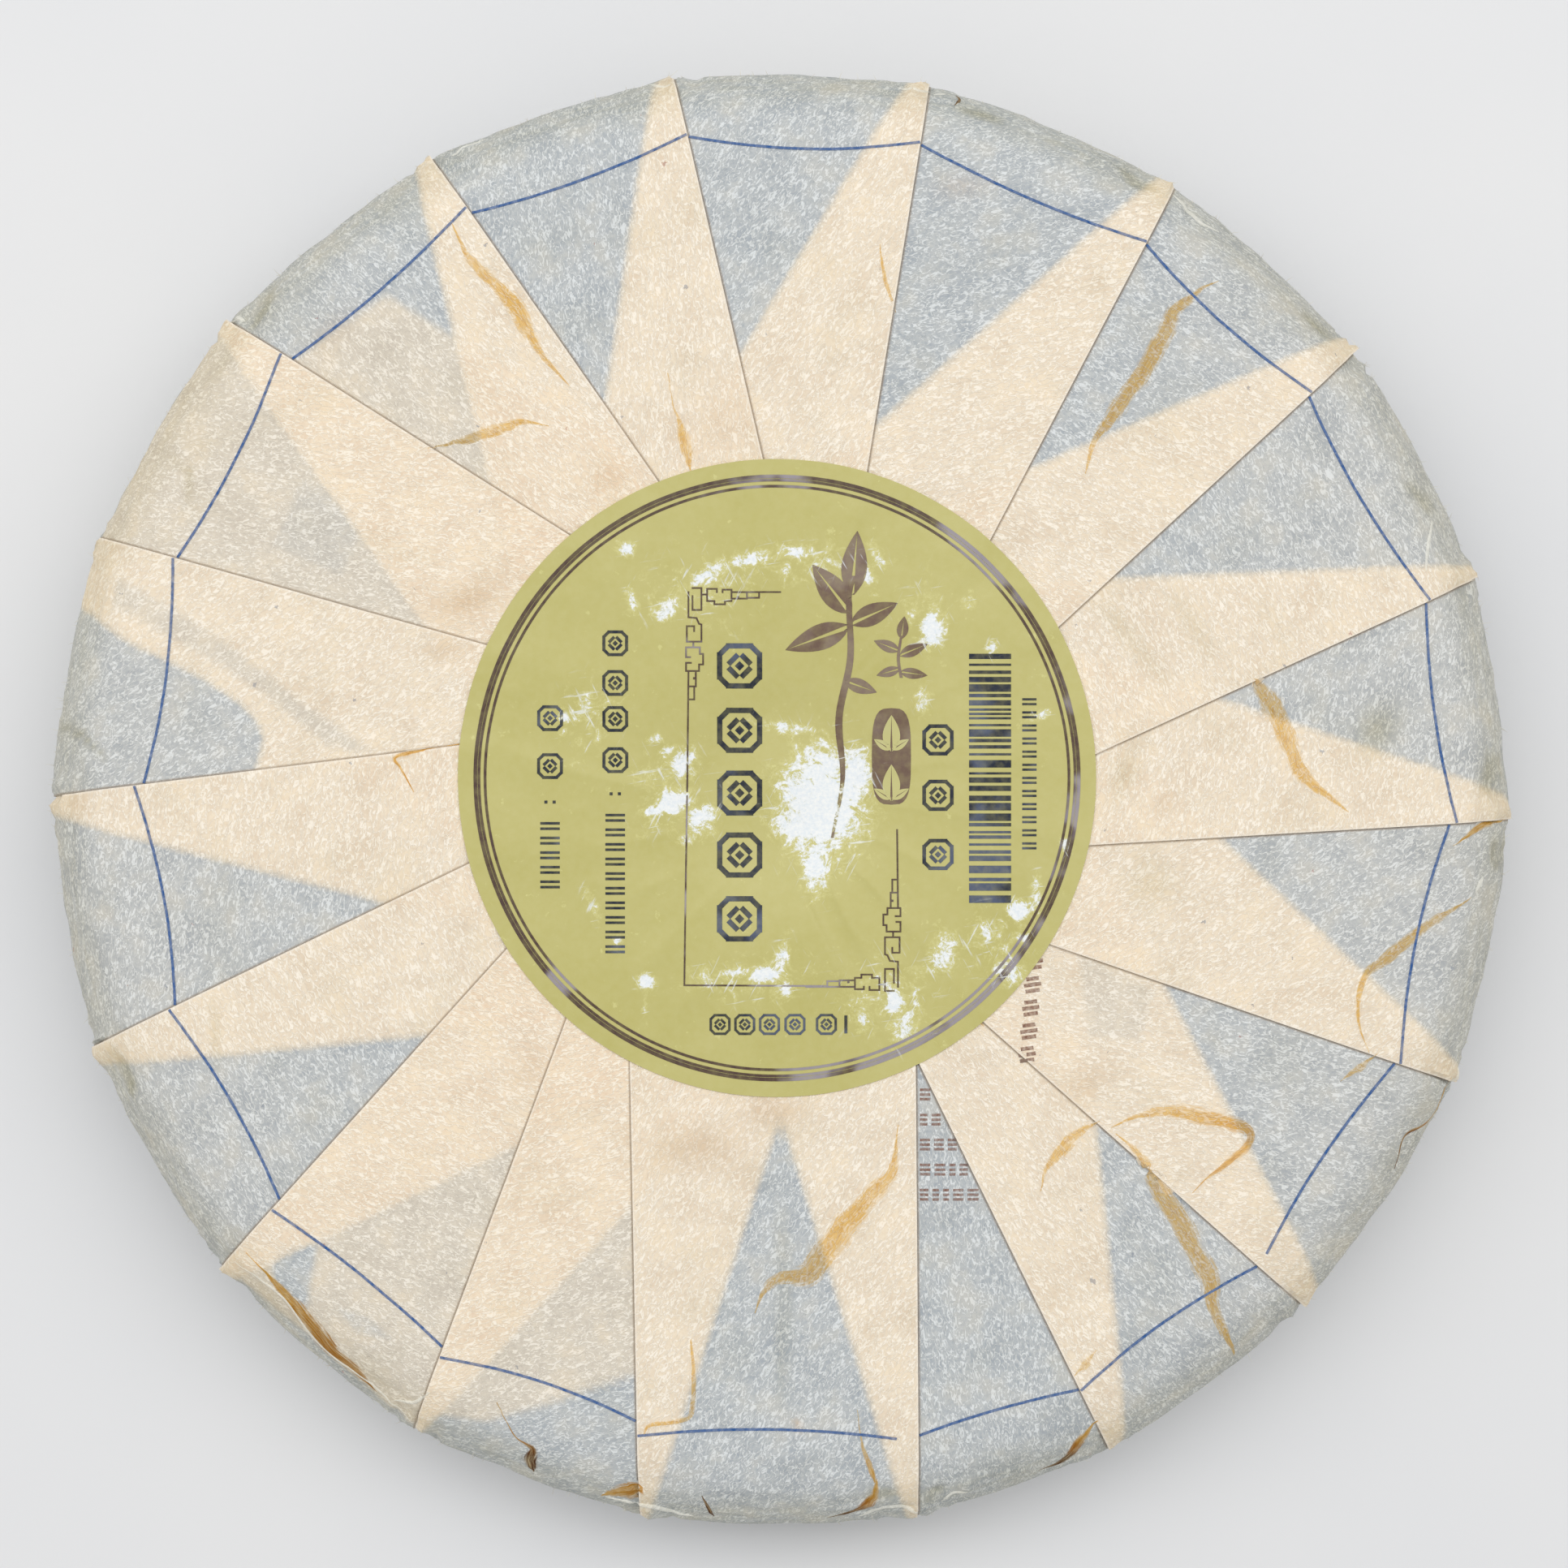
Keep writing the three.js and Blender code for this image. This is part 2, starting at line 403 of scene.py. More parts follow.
    def rings(self) -> Values:
        """The rings from the flat spot over the rim to the middle of the back.

        Returns:
            A column for each of these: radius, height, how far the surface faces out and up, whether
            the ring is on the back, and its distance along the paper.
        """
        rows: list[tuple[float, float, float, float, bool]] = []
        for radius, height, top, steps in (
            (self.rest_radius, 0.0, self.widest_height, self.underside_rings),
            (self.flat_top_radius, self.widest_height, self.cake_height, self.rim_rings),
        ):
            width, rise, under = self.cake_radius - radius, top - height, not rows
            for step in range(0 if under else 1, steps + 1):
                cos, sin = math.cos(TURN / 4 * step / steps), math.sin(TURN / 4 * step / steps)
                wide, high, steep = (sin, 1 - cos, -cos) if under else (cos, sin, sin)
                out, up = wide / width, steep / rise
                size = math.hypot(out, up)
                rows.append((radius + width * wide, height + rise * high, out / size, up / size, False))
        gather_edge = self.gather_radius - self.gather_margin
        for count, start, end in (
            (self.top_rings, self.flat_top_radius, gather_edge),
            (self.inner_rings, gather_edge, self.fan_radius),
        ):
            for step in range(1, count + 1):
                rows.append((start + (end - start) * step / count, self.cake_height, 0.0, 1.0, True))
        climbs = [math.hypot(b[0] - a[0], b[1] - a[1]) for a, b in zip(rows, rows[1:])]
        names = ("radius", "height", "out", "up", "on_back")
        columns = {name: np.array([row[place] for row in rows])[:, None] for place, name in enumerate(names)}
        return {**columns, "unrolled": np.cumsum([self.rest_radius, *climbs])[:, None]}


def on_plane(outline: Route) -> list[Point]:
    """The x and y of places given as (angle, radius) pairs."""
    turns = [(math.radians(angle), radius) for angle, radius in outline]
    return [(radius * math.sin(turn), radius * math.cos(turn)) for turn, radius in turns]


def inside_distance(corners: list[Point], x: Array, y: Array) -> Array:
    """How far places lie inside an outline, negative outside it.

    Args:
        corners: The outline's corners in order.
        x, y: Places in millimetres.

    Returns:
        The distance from the outline for each place.
    """
    nearest, _ = beside_route([*corners, corners[0]], x, y)
    crossings = np.zeros(np.shape(x), int)
    for (ax, ay), (bx, by) in zip(corners, corners[1:] + corners[:1]):
        if ay != by:
            spans = (ay > y) != (by > y)
            crossings += spans & (x < ax + (y - ay) * (bx - ax) / (by - ay))
    return np.where(crossings % 2 == 1, nearest, -nearest)


def beside_route(route: list[Point] | Route, x: Array, y: Array) -> tuple[Array, Array]:
    """How far places lie from a route of straight lines, and how far along it they lie.

    Args:
        route: The route's points.
        x, y: Places, in the route's units.

    Returns:
        The distance from the route, and the share of its length up to the point nearest to each place.
    """
    nearest, along = np.full(np.shape(x), np.inf), np.zeros(np.shape(x))
    whole = sum(math.dist(start, end) for start, end in zip(route, route[1:]))
    passed = 0.0
    for (ax, ay), (bx, by) in zip(route, route[1:]):
        length = math.hypot(bx - ax, by - ay)
        share = np.clip(((x - ax) * (bx - ax) + (y - ay) * (by - ay)) / length**2, 0.0, 1.0)
        distance = np.hypot(x - ax - share * (bx - ax), y - ay - share * (by - ay))
        along = np.where(distance < nearest, (passed + share * length) / whole, along)
        nearest = np.minimum(nearest, distance)
        passed += length
    return nearest, along


def mesh_piece(name: str, points: Array, faces: Faces, crease: float | None = None) -> Piece:
    """Makes an object from points in millimetres.

    Args:
        name: The piece's name.
        points: One row of x, y, z a point.
        faces: Each face as its points' places in the list.
        crease: The angle in degrees over which an edge stays sharp, or none for flat faces.

    Returns:
        The new object, in the scene.
    """
    mesh = bpy.data.meshes.new(name)
    mesh.from_pydata((points * MM).tolist(), [], faces)
    mesh.validate()
    if crease is not None:
        mesh.shade_smooth()
        mesh.set_sharp_from_angle(angle=math.radians(crease))
    piece = bpy.data.objects.new(name, mesh)
    bpy.context.scene.collection.objects.link(piece)
    return piece


def write_values(piece: Piece, values: Values) -> None:
    """Writes named numbers, or rows of three, on the points of a piece's mesh.

    Args:
        piece: The piece.
        values: The numbers by name, one for each point.
    """
    for name, kept in values.items():
        kind, key = ("FLOAT_VECTOR", "vector") if kept.ndim == 2 else ("FLOAT", "value")
        store = piece.data.attributes.new(name, kind, "POINT")
        store.data.foreach_set(key, kept.astype(np.float32).ravel())


def settle(piece: Piece, finish: Finish, node: str | None = None) -> None:
    """Dresses a piece, lets it ride on the object and hides the solid that it replaces.

    Args:
        piece: The piece.
        finish: Its material.
        node: The solid that it replaces, if any.
    """
    piece.data.materials.append(finish)
    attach(piece, "root")
    if node:
        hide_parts(node)
    LOG.info("%s: %d faces", piece.name, len(piece.data.polygons))


@dataclass
class Skin:
    """A piece's surface as laid paper, in millimetres: other pieces lie on it and take its values."""

    points: Array
    faces: Faces
    values: Values
    above_all: float = 200.0
    closest: float = 1e-3

    def __post_init__(self) -> None:
        """Makes the tree that finds places on the surface."""
        self.tree = BVHTree.FromPolygons(self.points.tolist(), self.faces)

    def below(self, x: float, y: float) -> Vector:
        """The surface's point straight below a place.

        Args:
            x, y: The place in millimetres.

        Returns:
            The point.
        """
        place = self.tree.ray_cast(Vector((x, y, self.above_all)), Vector((0.0, 0.0, -1.0)))[0]
        if place is None:
            raise ValueError(f"nothing lies below {x:.1f}, {y:.1f}")
        return place

    def nearest(self, place: Vector) -> tuple[Vector, Vector, int]:
        """The surface's point nearest to a place, its normal and its face."""
        spot, normal, face, _ = self.tree.find_nearest(place)
        return spot, normal, face

    def sample(self, places: Array) -> Values:
        """The surface's values at places on it.

        Args:
            places: One row of x, y, z a place.

        Returns:
            The named values, one for each place.
        """
        found = {name: np.zeros((len(places), *kept.shape[1:])) for name, kept in self.values.items()}
        for row, place in enumerate(places):
            corners = self.faces[self.nearest(Vector(place))[2]]
            weights = 1.0 / (np.linalg.norm(self.points[corners] - place, axis=1) + self.closest) ** 2
            weights /= weights.sum()
            for name, kept in self.values.items():
                found[name][row] = weights @ kept[corners]
        return found


@dataclass(frozen=True)
class Eye:
    """Where the picture was taken from, straight above the cake, and how its pixels fall on it."""

    x: float = 0.44
    y: float = 2.11
    height: float = 463.5
    rim_distance: float = 450.0
    pixels_per_mm_at_rim: float = 9.0
    sensor: float = 36.0
    middle: float = PHOTO_SIDE / 2
    pull: float = 0.004
    pulls: int = 12

    @property
    def lens(self) -> float:
        """The lens length in millimetres that shows the photograph's frame."""
        return self.sensor * self.rim_distance * self.pixels_per_mm_at_rim / PHOTO_SIDE

    @property
    def focal(self) -> float:
        """The lens length in the photograph's pixels."""
        return self.pixels_per_mm_at_rim * self.rim_distance

    def pixels(self, x: Array, y: Array, z: Array) -> tuple[Array, Array]:
        """The columns and rows of the photograph where these places show."""
        scale = self.focal / (self.height - z)
        return self.middle + (x - self.x) * scale, self.middle - (y - self.y) * scale

    def hit(self, skin: Skin, pixel: Point) -> Vector:
        """The point of a surface that a pixel of the photograph shows, or one just inside its outline.

        Args:
            skin: The surface.
            pixel: Column and row in the photograph.

        Returns:
            The place in millimetres.
        """
        for step in range(self.pulls):
            inwards = (1.0 - self.pull * step) / self.focal
            ray = Vector(((pixel[0] - self.middle) * inwards, (self.middle - pixel[1]) * inwards, -1.0))
            place = skin.tree.ray_cast(Vector((self.x, self.y, self.height)), ray.normalized())[0]
            if place is not None:
                return place
        raise ValueError(f"pixel {pixel} misses the surface")


def rim_zone(rings: Values, zone: tuple[Point, Point]) -> Array:
    """Where a kind of rim relief shows: between how far a ring faces out, and between two heights."""
    return smooth(rings["out"], *zone[0]) * smooth(rings["height"], *zone[1])


@dataclass
class PleatedWrapper:
    """The paper wrapper: one closed mesh with every pleat, lap and crumpled corner."""

    form: WrapperForm
    eye: Eye
    end_offsets: Numbers = (0.0, 0.22, 0.6)
    half_gap: float = 0.03
    narrow_pleat: float = 8.0
    lap_blur: float = 0.9
    second_lap_share: float = 0.8
    tucked_share: float = 0.25
    spring_reach: float = 1.6
    edge_rounding: float = 0.35
    rounding_reach: float = 0.18
    flat_middle: Point = (8.0, 16.0)
    leaf_height: float = 0.16
    leaf_lumps: tuple[Lumps, Lumps] = (Lumps(3, (5.5, 5.5, 5.5)), Lumps(4, (2.4, 2.4, 2.4)))
    ripple_height: float = 0.075
    ripple_lumps: Lumps = Lumps(5, (7.0, 3.2, 4.0))
    lumps_from: Point = (10.0, 30.0)
    rim_crumple: float = 0.14
    wrinkle_lumps: tuple[Lumps, Lumps] = (Lumps(6, (11.0, 2.3, 1.0)), Lumps(7, (4.5, 1.2, 1.0)))
    wrinkle_slants: Point = (0.06, -0.1)
    corner_crumple: float = 0.5
    crumple_reach: float = 5.0
    crumple_lumps: Lumps = Lumps(8, (1.5, 4.5, 1.0))
    corner_crease: float = 0.4
    crease_reach: float = 0.7
    tip_widths: Point = (3.0, 4.5)
    early_tip: float = 0.8
    tip_level: float = 17.0
    tip_sizes: Point = (0.65, 1.35)
    tip_seed: int = 11
    facet_zone: tuple[Point, Point] = ((0.35, 0.9), (3.0, 9.0))
    wrinkle_zone: tuple[Point, Point] = ((0.15, 0.7), (3.0, 9.0))
    crease_zone: tuple[Point, Point] = ((0.3, 0.8), (4.0, 13.0))
    tip_zone: tuple[Point, Point] = ((0.5, 0.95), (2.0, 11.0))
    pleat_shift: float = 7.0
    skin: Skin | None = field(default=None, init=False)

    def positions(self, width: Array) -> Array:
        """Where a pleat's columns lie across it, in millimetres from its first fold.

        Args:
            width: The pleat's width at each ring, as one column of numbers.

        Returns:
            One row a ring: close together at the folded edges, and evenly spread between.
        """
        near = np.array(self.end_offsets)[None, :] * np.minimum(1.0, width / self.narrow_pleat)
        inner = self.form.columns - 2 * len(self.end_offsets)
        first = near[:, -1:] * 2.0
        even = first + (width - 2.0 * first) * np.linspace(0.0, 1.0, inner)[None, :]
        return np.concatenate([near, even, (width - near)[:, ::-1]], axis=1)

    def pleat_grid(self, pleat: int, rings: Values) -> tuple[Array, Values]:
        """One pleat's part of the grid.

        Args:
            pleat: The pleat's number.
            rings: The wrapper's rings.

        Returns:
            The points as rings by columns by 3, and the named values of each point.
        """
        form = self.form
        radius, height, out, up, on_back, unrolled = rings.values()
        start = form.fold_direction(pleat, radius) + self.half_gap / radius
        width = (form.fold_direction(pleat + 1, radius) - self.half_gap / radius - start) * radius
        across = self.positions(width)
        direction = start + across / radius
        to_end = width - across
        x, y = radius * np.sin(direction), radius * np.cos(direction)
        blank = np.zeros_like(x)
        path = direction * form.cake_radius

        first, second = form.laps(pleat, x, y)
        tucked = form.tucks_and_side_lightening(pleat, x, y)
        in_first = smooth(first, -self.lap_blur, self.lap_blur)
        in_second = smooth(second, -self.lap_blur, self.lap_blur)
        under_edge, own_edge = self.edges(pleat, across, to_end)
        rounding = self.edge_rounding * form.lap_step * np.exp(-((own_edge / self.rounding_reach) ** 2))
        relief = form.lap_step * (in_first + self.second_lap_share * in_second + self.tucked_share * tucked)
        relief = relief + form.edge_spring * np.exp(-own_edge / self.spring_reach) - rounding
        relief = relief * smooth(up, 0.0, 0.35) * smooth(radius, *self.flat_middle)

        z = height + blank
        leaves = self.leaf_lumps[0].at(x, y, z) + 0.5 * self.leaf_lumps[1].at(x, y, z)
        cover = smooth(radius, *self.lumps_from)
        relief = relief + self.leaf_height * leaves * cover
        relief = relief + self.ripple_height * self.ripple_lumps.ridges(x, y, z) * cover
        relief = self.crumpled(relief, rings, pleat, across, to_end, path)
        # The creases' painted shade, olive in tone, is gathered here.
        olive = blank
        for crease in CREASES:
            distance, share = beside_route(crease.route, *self.eye.pixels(x, y, z))
            shape = np.exp(-((distance / self.eye.pixels_per_mm_at_rim / crease.half_width) ** 2))
            shape = shape * np.sqrt(np.sin(np.pi * share).clip(0.0)) * smooth(up, 0.02, 0.15)
            relief = relief + crease.rise * shape
            olive = olive + crease.olive * shape

        spread = radius + out * relief + self.outward(pleat, across, width, rings)
        x, y = spread * np.sin(direction), spread * np.cos(direction)
        z = height + up * relief - np.where(on_back, form.dimple(x, y), 0.0)
        backs = smooth(up, 0.05, 0.4)
        stains = self.stains(x, y) * backs
        values = {
            "sheet": np.stack([*self.on_sheet(pleat, direction, rings), blank], axis=2),
            "rim_place": np.stack([path, unrolled + blank, (blank + pleat) * self.pleat_shift], axis=2),
            "first_lap": first,
            "second_lap": second,
            # The folded-in corners, and the extra side layers that paint the left and right sides lighter.
            "tucked": tucked * backs,
            "under_edge": np.where(backs > 0.1, under_edge, FAR),
            "own_edge": np.where(backs > 0.1, own_edge, FAR),
            # How far the paper faces outward, which sets the rim's painted shade and its olive-grey tone.
            "rim": smooth(out, 0.3, 0.75) + blank,
            "stain": np.maximum(stains, 0.0),
            # Painted shade in the creases, and the olive stains, as one value for the olive tint.
            "olive": olive + np.maximum(-stains, 0.0),
            "back": backs + blank,
        }
        return np.stack([x, y, np.maximum(z, 0.0)], axis=2), values

    def crumpled(
        self, relief: Array, rings: Values, pleat: int, across: Array, to_end: Array, path: Array
    ) -> Array:
        """Adds the wrinkles of the rim, and the crumpled paper and the crease at each of its corners.

        Args:
            relief: The relief without them.
            rings: The wrapper's rings.
            pleat: The pleat's number.
            across, to_end: How far places on the pleat lie from its first and its last fold.
            path: How far round the rim they lie.

        Returns:
            The relief with them, in millimetres.
        """
        unrolled, level = rings["unrolled"], np.full_like(path, pleat)
        wrinkle = self.wrinkle_lumps[0].ridges(path, unrolled + self.wrinkle_slants[0] * path, level)
        finer = self.wrinkle_lumps[1].ridges(path, unrolled + self.wrinkle_slants[1] * path, level)
        aside = np.where(to_end < across, -to_end, across)
        gather = self.crumple_lumps.ridges(aside, unrolled + 0.5 * across, level)
        nearest_fold = np.minimum(across, to_end)
        crumple = np.exp(-((nearest_fold / self.crumple_reach) ** 2)) * gather
        relief = relief + self.rim_crumple * (wrinkle + 0.6 * finer) * rim_zone(rings, self.wrinkle_zone)
        relief = relief + self.corner_crumple * crumple * rim_zone(rings, self.facet_zone)
        crease = np.exp(-((nearest_fold / self.crease_reach) ** 2))
        return relief - self.corner_crease * crease * rim_zone(rings, self.crease_zone)

    def outward(self, pleat: int, across: Array, width: Array, rings: Values) -> Array:
        """How far the rim stands out at its paper corners, less the flatter stretches between them.

        Args:
            pleat: The pleat's number.
            across: How far places lie from its first fold.
            width: Its width at each ring.
            rings: The wrapper's rings.

        Returns:
            The distance in millimetres for each place.
        """
        to_end = width - across
        late = 1.0 - np.minimum(to_end / self.tip_widths[1], 1.0)
        early = self.early_tip - self.early_tip * np.minimum(across / self.tip_widths[0], 1.0)
        sizes = np.random.default_rng(self.tip_seed).uniform(*self.tip_sizes, len(PLEATS) + 1)
        size = np.where(to_end < across, sizes[(pleat + 1) % len(PLEATS)], sizes[pleat])
        tip = self.form.corner_reach * np.where(to_end < across, late, early) ** 2 * size
        tip = tip * rim_zone(rings, self.tip_zone)
        tip = tip * (1.0 - 0.5 * np.abs(rings["height"] - self.tip_level) / self.tip_level)
        facet = self.form.facet_depth * np.sin(np.pi * np.clip(across / width, 0.0, 1.0))
        return tip - facet * rim_zone(rings, self.facet_zone)

    def on_sheet(self, pleat: int, direction: Array, rings: Values) -> tuple[Array, Array]:
        """Where places on a pleat were when the sheet lay flat.

        Args:
            pleat: The pleat's number.
            direction: Their directions in radians.
            rings: The wrapper's rings.

        Returns:
            Their x and y on the flat sheet, in millimetres.
        """
        middle = 0.5 * (PLEATS[pleat].rim + PLEATS[(pleat + 1) % len(PLEATS)].rim)
        bearing = math.radians(middle + (180.0 if pleat + 1 == len(PLEATS) else 0.0))
        aside = rings["radius"] * np.sin(direction - bearing)
        ahead = rings["unrolled"] + rings["up"] * rings["radius"] * (1.0 - np.cos(direction - bearing))
        x = aside * math.cos(bearing) + ahead * math.sin(bearing)
        return x, ahead * math.cos(bearing) - aside * math.sin(bearing)

    def edges(self, pleat: int, to_start: Array, to_end: Array) -> tuple[Array, Array]:
        """How far places on a pleat lie from an edge that laps over it, and from an edge of its own.

        Args:
            pleat: The pleat's number.
            to_start: How far they lie from its first fold.
            to_end: How far they lie from its last fold.

        Returns:
            The two arrays of distances in millimetres.
        """
        far = np.full_like(to_start, FAR)
        if pleat == BACKWARD_FOLD:
            return far, np.minimum(to_start, to_end)
        if pleat + 1 == BACKWARD_FOLD:
            return np.minimum(to_start, to_end), far
        return to_start, to_end

    def stains(self, x: Array, y: Array) -> Array:
        """How strong the soft stains are.

        Args:
            x, y: Places in millimetres.

        Returns:
            The strength for each place, brown above zero and olive below.
        """
        total = np.zeros(np.shape(x))
        for stain in STAINS:
            turn = math.radians(stain.turn)
            along = (x - stain.x) * math.cos(turn) + (y - stain.y) * math.sin(turn)
            aside = (y - stain.y) * math.cos(turn) - (x - stain.x) * math.sin(turn)
            spread = np.hypot(along / stain.half_length, aside / stain.half_width)
            total = total + stain.strength * np.exp(-(spread**2))
        return total

    def build(self) -> Piece:
        """Makes the wrapper's mesh, and keeps its surface for what lies on it.

        Returns:
            The piece.
        """
        rings = self.form.rings()
        parts = [self.pleat_grid(pleat, rings) for pleat in range(len(PLEATS))]
        grid = np.concatenate([points for points, _ in parts], axis=1)
        count, wide = grid.shape[:2]
        middle_height = self.form.cake_height - float(self.form.dimple(np.zeros(1), np.zeros(1))[0])
        points = np.concatenate([grid.reshape(-1, 3), [[0.0, 0.0, 0.0], [0.0, 0.0, middle_height]]])
        flat: Values = {}
        for name in parts[0][1]:
            kept = np.concatenate([values[name] for _, values in parts], axis=1)
            ends = np.stack([kept[0].mean(axis=0), kept[-1].mean(axis=0)])
            if name == "sheet":
                ends = np.zeros((2, 3))
            flat[name] = np.concatenate([kept.reshape(count * wide, *kept.shape[2:]), ends])
        faces = closed_faces(count, wide)
        piece = mesh_piece("pleated_wrapper", points, faces, crease=38.0)
        write_values(piece, flat)
        self.skin = Skin(points, faces, flat)
        return piece


def closed_faces(rings: int, columns: int) -> Faces:
    """The faces that join rings of points, and a middle point at either end, into a closed mesh.

    Args:
        rings: How many rings there are, from the underside to the top.
        columns: How many points each ring has, clockwise from above.

    Returns:
        The faces, facing out. The middle points come after the rings' points, the lower one first.
    """
    place = np.arange(rings * columns).reshape(rings, columns)
    following = np.roll(place, -1, axis=1)
    quads = np.stack([place[:-1], place[1:], following[1:], following[:-1]], axis=2).reshape(-1, 4)
    low, high = rings * columns, rings * columns + 1
    under = [[low, int(a), int(b)] for a, b in zip(place[0], following[0])]
    over = [[high, int(b), int(a)] for a, b in zip(place[-1], following[-1])]
    return quads.tolist() + under + over


class StrandTone(Enum):
    """How dark a bark strand is."""

    PALE = 0.15
    OCHRE = 0.4
    AMBER = 0.65
    DARK = 1.0


@dataclass(frozen=True)
class Strand:
    """A strand of bark in the paper: its route in the photograph's pixels, and its widest width.

    A lean over 1 brings the widest part nearer to its end, and a higher taper thins it more. Its tone
    may grow darker towards its end.
    """

    route: Route
    width: float
    tone: StrandTone = StrandTone.OCHRE
    lean: float = 1.0
    darker_end: float = 0.0
    taper: float = 1.5


STRANDS = (
    Strand(
        ((556, 272), (568, 300), (580, 320), (620, 360), (640, 385), (655, 415), (670, 440), (702, 476)),
        1.5,
    ),
    Strand(((527, 552), (574, 542), (612, 529), (644, 520), (675, 524)), 1.1),
    Strand(((823, 460), (829, 497), (839, 523), (845, 548), (851, 580)), 1.2, lean=2.6),
    Strand(((566, 917), (491, 931), (493, 945), (500, 958), (510, 976)), 0.35, StrandTone.AMBER),
    Strand(((1084, 301), (1091, 344), (1104, 385)), 0.4),
    Strand(
        ((1500, 345), (1455, 376), (1442, 395), (1423, 434), (1391, 485), (1366, 517), (1347, 548),
         (1336, 582)),
        1.8, taper=1.1,
    ),
    Strand(((1547, 838), (1570, 874), (1589, 918), (1608, 957), (1661, 1000)), 1.9, lean=0.55, taper=0.9),
    Strand(((1858, 1010), (1825, 1018), (1790, 1042)), 0.7, StrandTone.AMBER),
    Strand(
        ((1813, 1106), (1774, 1130), (1742, 1155), (1716, 1174), (1685, 1200), (1674, 1225), (1675, 1264),
         (1688, 1298)),
        1.1, lean=0.75,
    ),
    Strand(((1697, 1299), (1672, 1318), (1651, 1332)), 0.7),
    Strand(
        ((1370, 1390), (1410, 1372), (1449, 1369), (1487, 1378), (1525, 1385), (1541, 1398), (1531, 1417),
         (1500, 1442), (1469, 1470)),
        1.4, lean=0.8, darker_end=0.2,
    ),
    Strand(((1354, 1381), (1327, 1398), (1305, 1420), (1289, 1442), (1282, 1468)), 1.2, lean=0.8),
    Strand(
        ((1376, 1398), (1404, 1423), (1429, 1468), (1455, 1506), (1474, 1544), (1490, 1576), (1496, 1614),
         (1520, 1670)),
        2.1, taper=1.1,
    ),
    Strand(
        ((1107, 1386), (1101, 1436), (1085, 1461), (1060, 1487), (1028, 1525), (1009, 1551), (989, 1573),
         (958, 1576), (942, 1595), (930, 1618)),
        2.5, lean=1.1, taper=1.4,
    ),
    Strand(((1056, 1737), (1063, 1780), (1076, 1818), (1080, 1835)), 0.5, StrandTone.PALE, 1.8, 0.5),
    Strand(((1079, 1818), (1078, 1840), (1060, 1858), (1020, 1870)), 1.0, StrandTone.AMBER, 0.8, 0.35),
    Strand(((1352, 1750), (1330, 1775), (1310, 1798), (1280, 1812)), 1.3, StrandTone.AMBER, 0.9, 0.4),
    Strand(
        ((1788, 1328), (1777, 1350), (1760, 1380), (1730, 1400), (1718, 1440)),
        0.3, StrandTone.AMBER, 1.0, 0.3,
    ),
    Strand(
        ((302, 1542), (335, 1575), (365, 1610), (390, 1640), (410, 1665), (440, 1690), (466, 1716)),
        2.4, StrandTone.AMBER, 1.4, 0.15,
    ),
    Strand(
        ((612, 1728), (633, 1768), (648, 1779), (657, 1786), (653, 1800), (659, 1814)),
        1.4, StrandTone.AMBER, 3.2, 0.35,
    ),
    Strand(((742, 1843), (762, 1838), (780, 1834), (791, 1832)), 2.2, StrandTone.AMBER, 2.2, 0.1, 0.5),
    Strand(
        ((851, 1650), (855, 1697), (853, 1735), (847, 1747), (825, 1753), (800, 1757), (793, 1768)),
        0.45, taper=0.4,
    ),
    Strand(((865, 1843), (872, 1856), (880, 1868)), 0.4, StrandTone.DARK),
    Strand(((1178, 118), (1182, 124), (1176, 130)), 0.3, StrandTone.DARK),
    Strand(((1351, 1663), (1338, 1680), (1323, 1695)), 0.7, StrandTone.PALE),
    Strand(((1213, 1265), (1196, 1250), (1188, 1262)), 0.5),
)


def along_curve(points: list[Vector], step: float) -> list[Vector]:
    """Even places along a smooth curve through points.

    Args:
        points: The points that the curve passes.
        step: The spacing of the places.

    Returns:
        The places, from the first point to the last.
    """
    ends = [2 * points[0] - points[1], *points, 2 * points[-1] - points[-2]]
    fine: list[Vector] = []
    for before, start, end, after in zip(ends, ends[1:], ends[2:], ends[3:]):
        for part in np.linspace(0.0, 1.0, 12, endpoint=False):
            square, cube = part * part, part**3
            fine.append(
                0.5 * (2 * start + (end - before) * part
                       + (2 * before - 5 * start + 4 * end - after) * square
                       + (3 * start - before - 3 * end + after) * cube)
            )
    fine.append(points[-1])
    lengths = np.concatenate([[0.0], np.cumsum([(b - a).length for a, b in zip(fine, fine[1:])])])
    wanted = np.linspace(0.0, lengths[-1], max(3, int(lengths[-1] / step) + 1))
    table = np.array([list(place) for place in fine])
    return [Vector([np.interp(at, lengths, table[:, axis]) for axis in range(3)]) for at in wanted]


def tube_faces(first: int, sections: int, corners: int) -> Faces:
    """The sides of a closed tube, and a cap at either end.

    Args:
        first: The place of its first point in the list.
        sections: How many sections it has.
        corners: How many points each section has.

    Returns:
        The faces, facing out.
    """
    faces: Faces = []
    for start in range(first, first + (sections - 1) * corners, corners):
        for k in range(corners):
            following = start + (k + 1) % corners
            faces.append([start + k, following, following + corners, start + k + corners])
    ends = list(range(first, first + sections * corners))
    return [*faces, ends[:corners][::-1], ends[-corners:]]


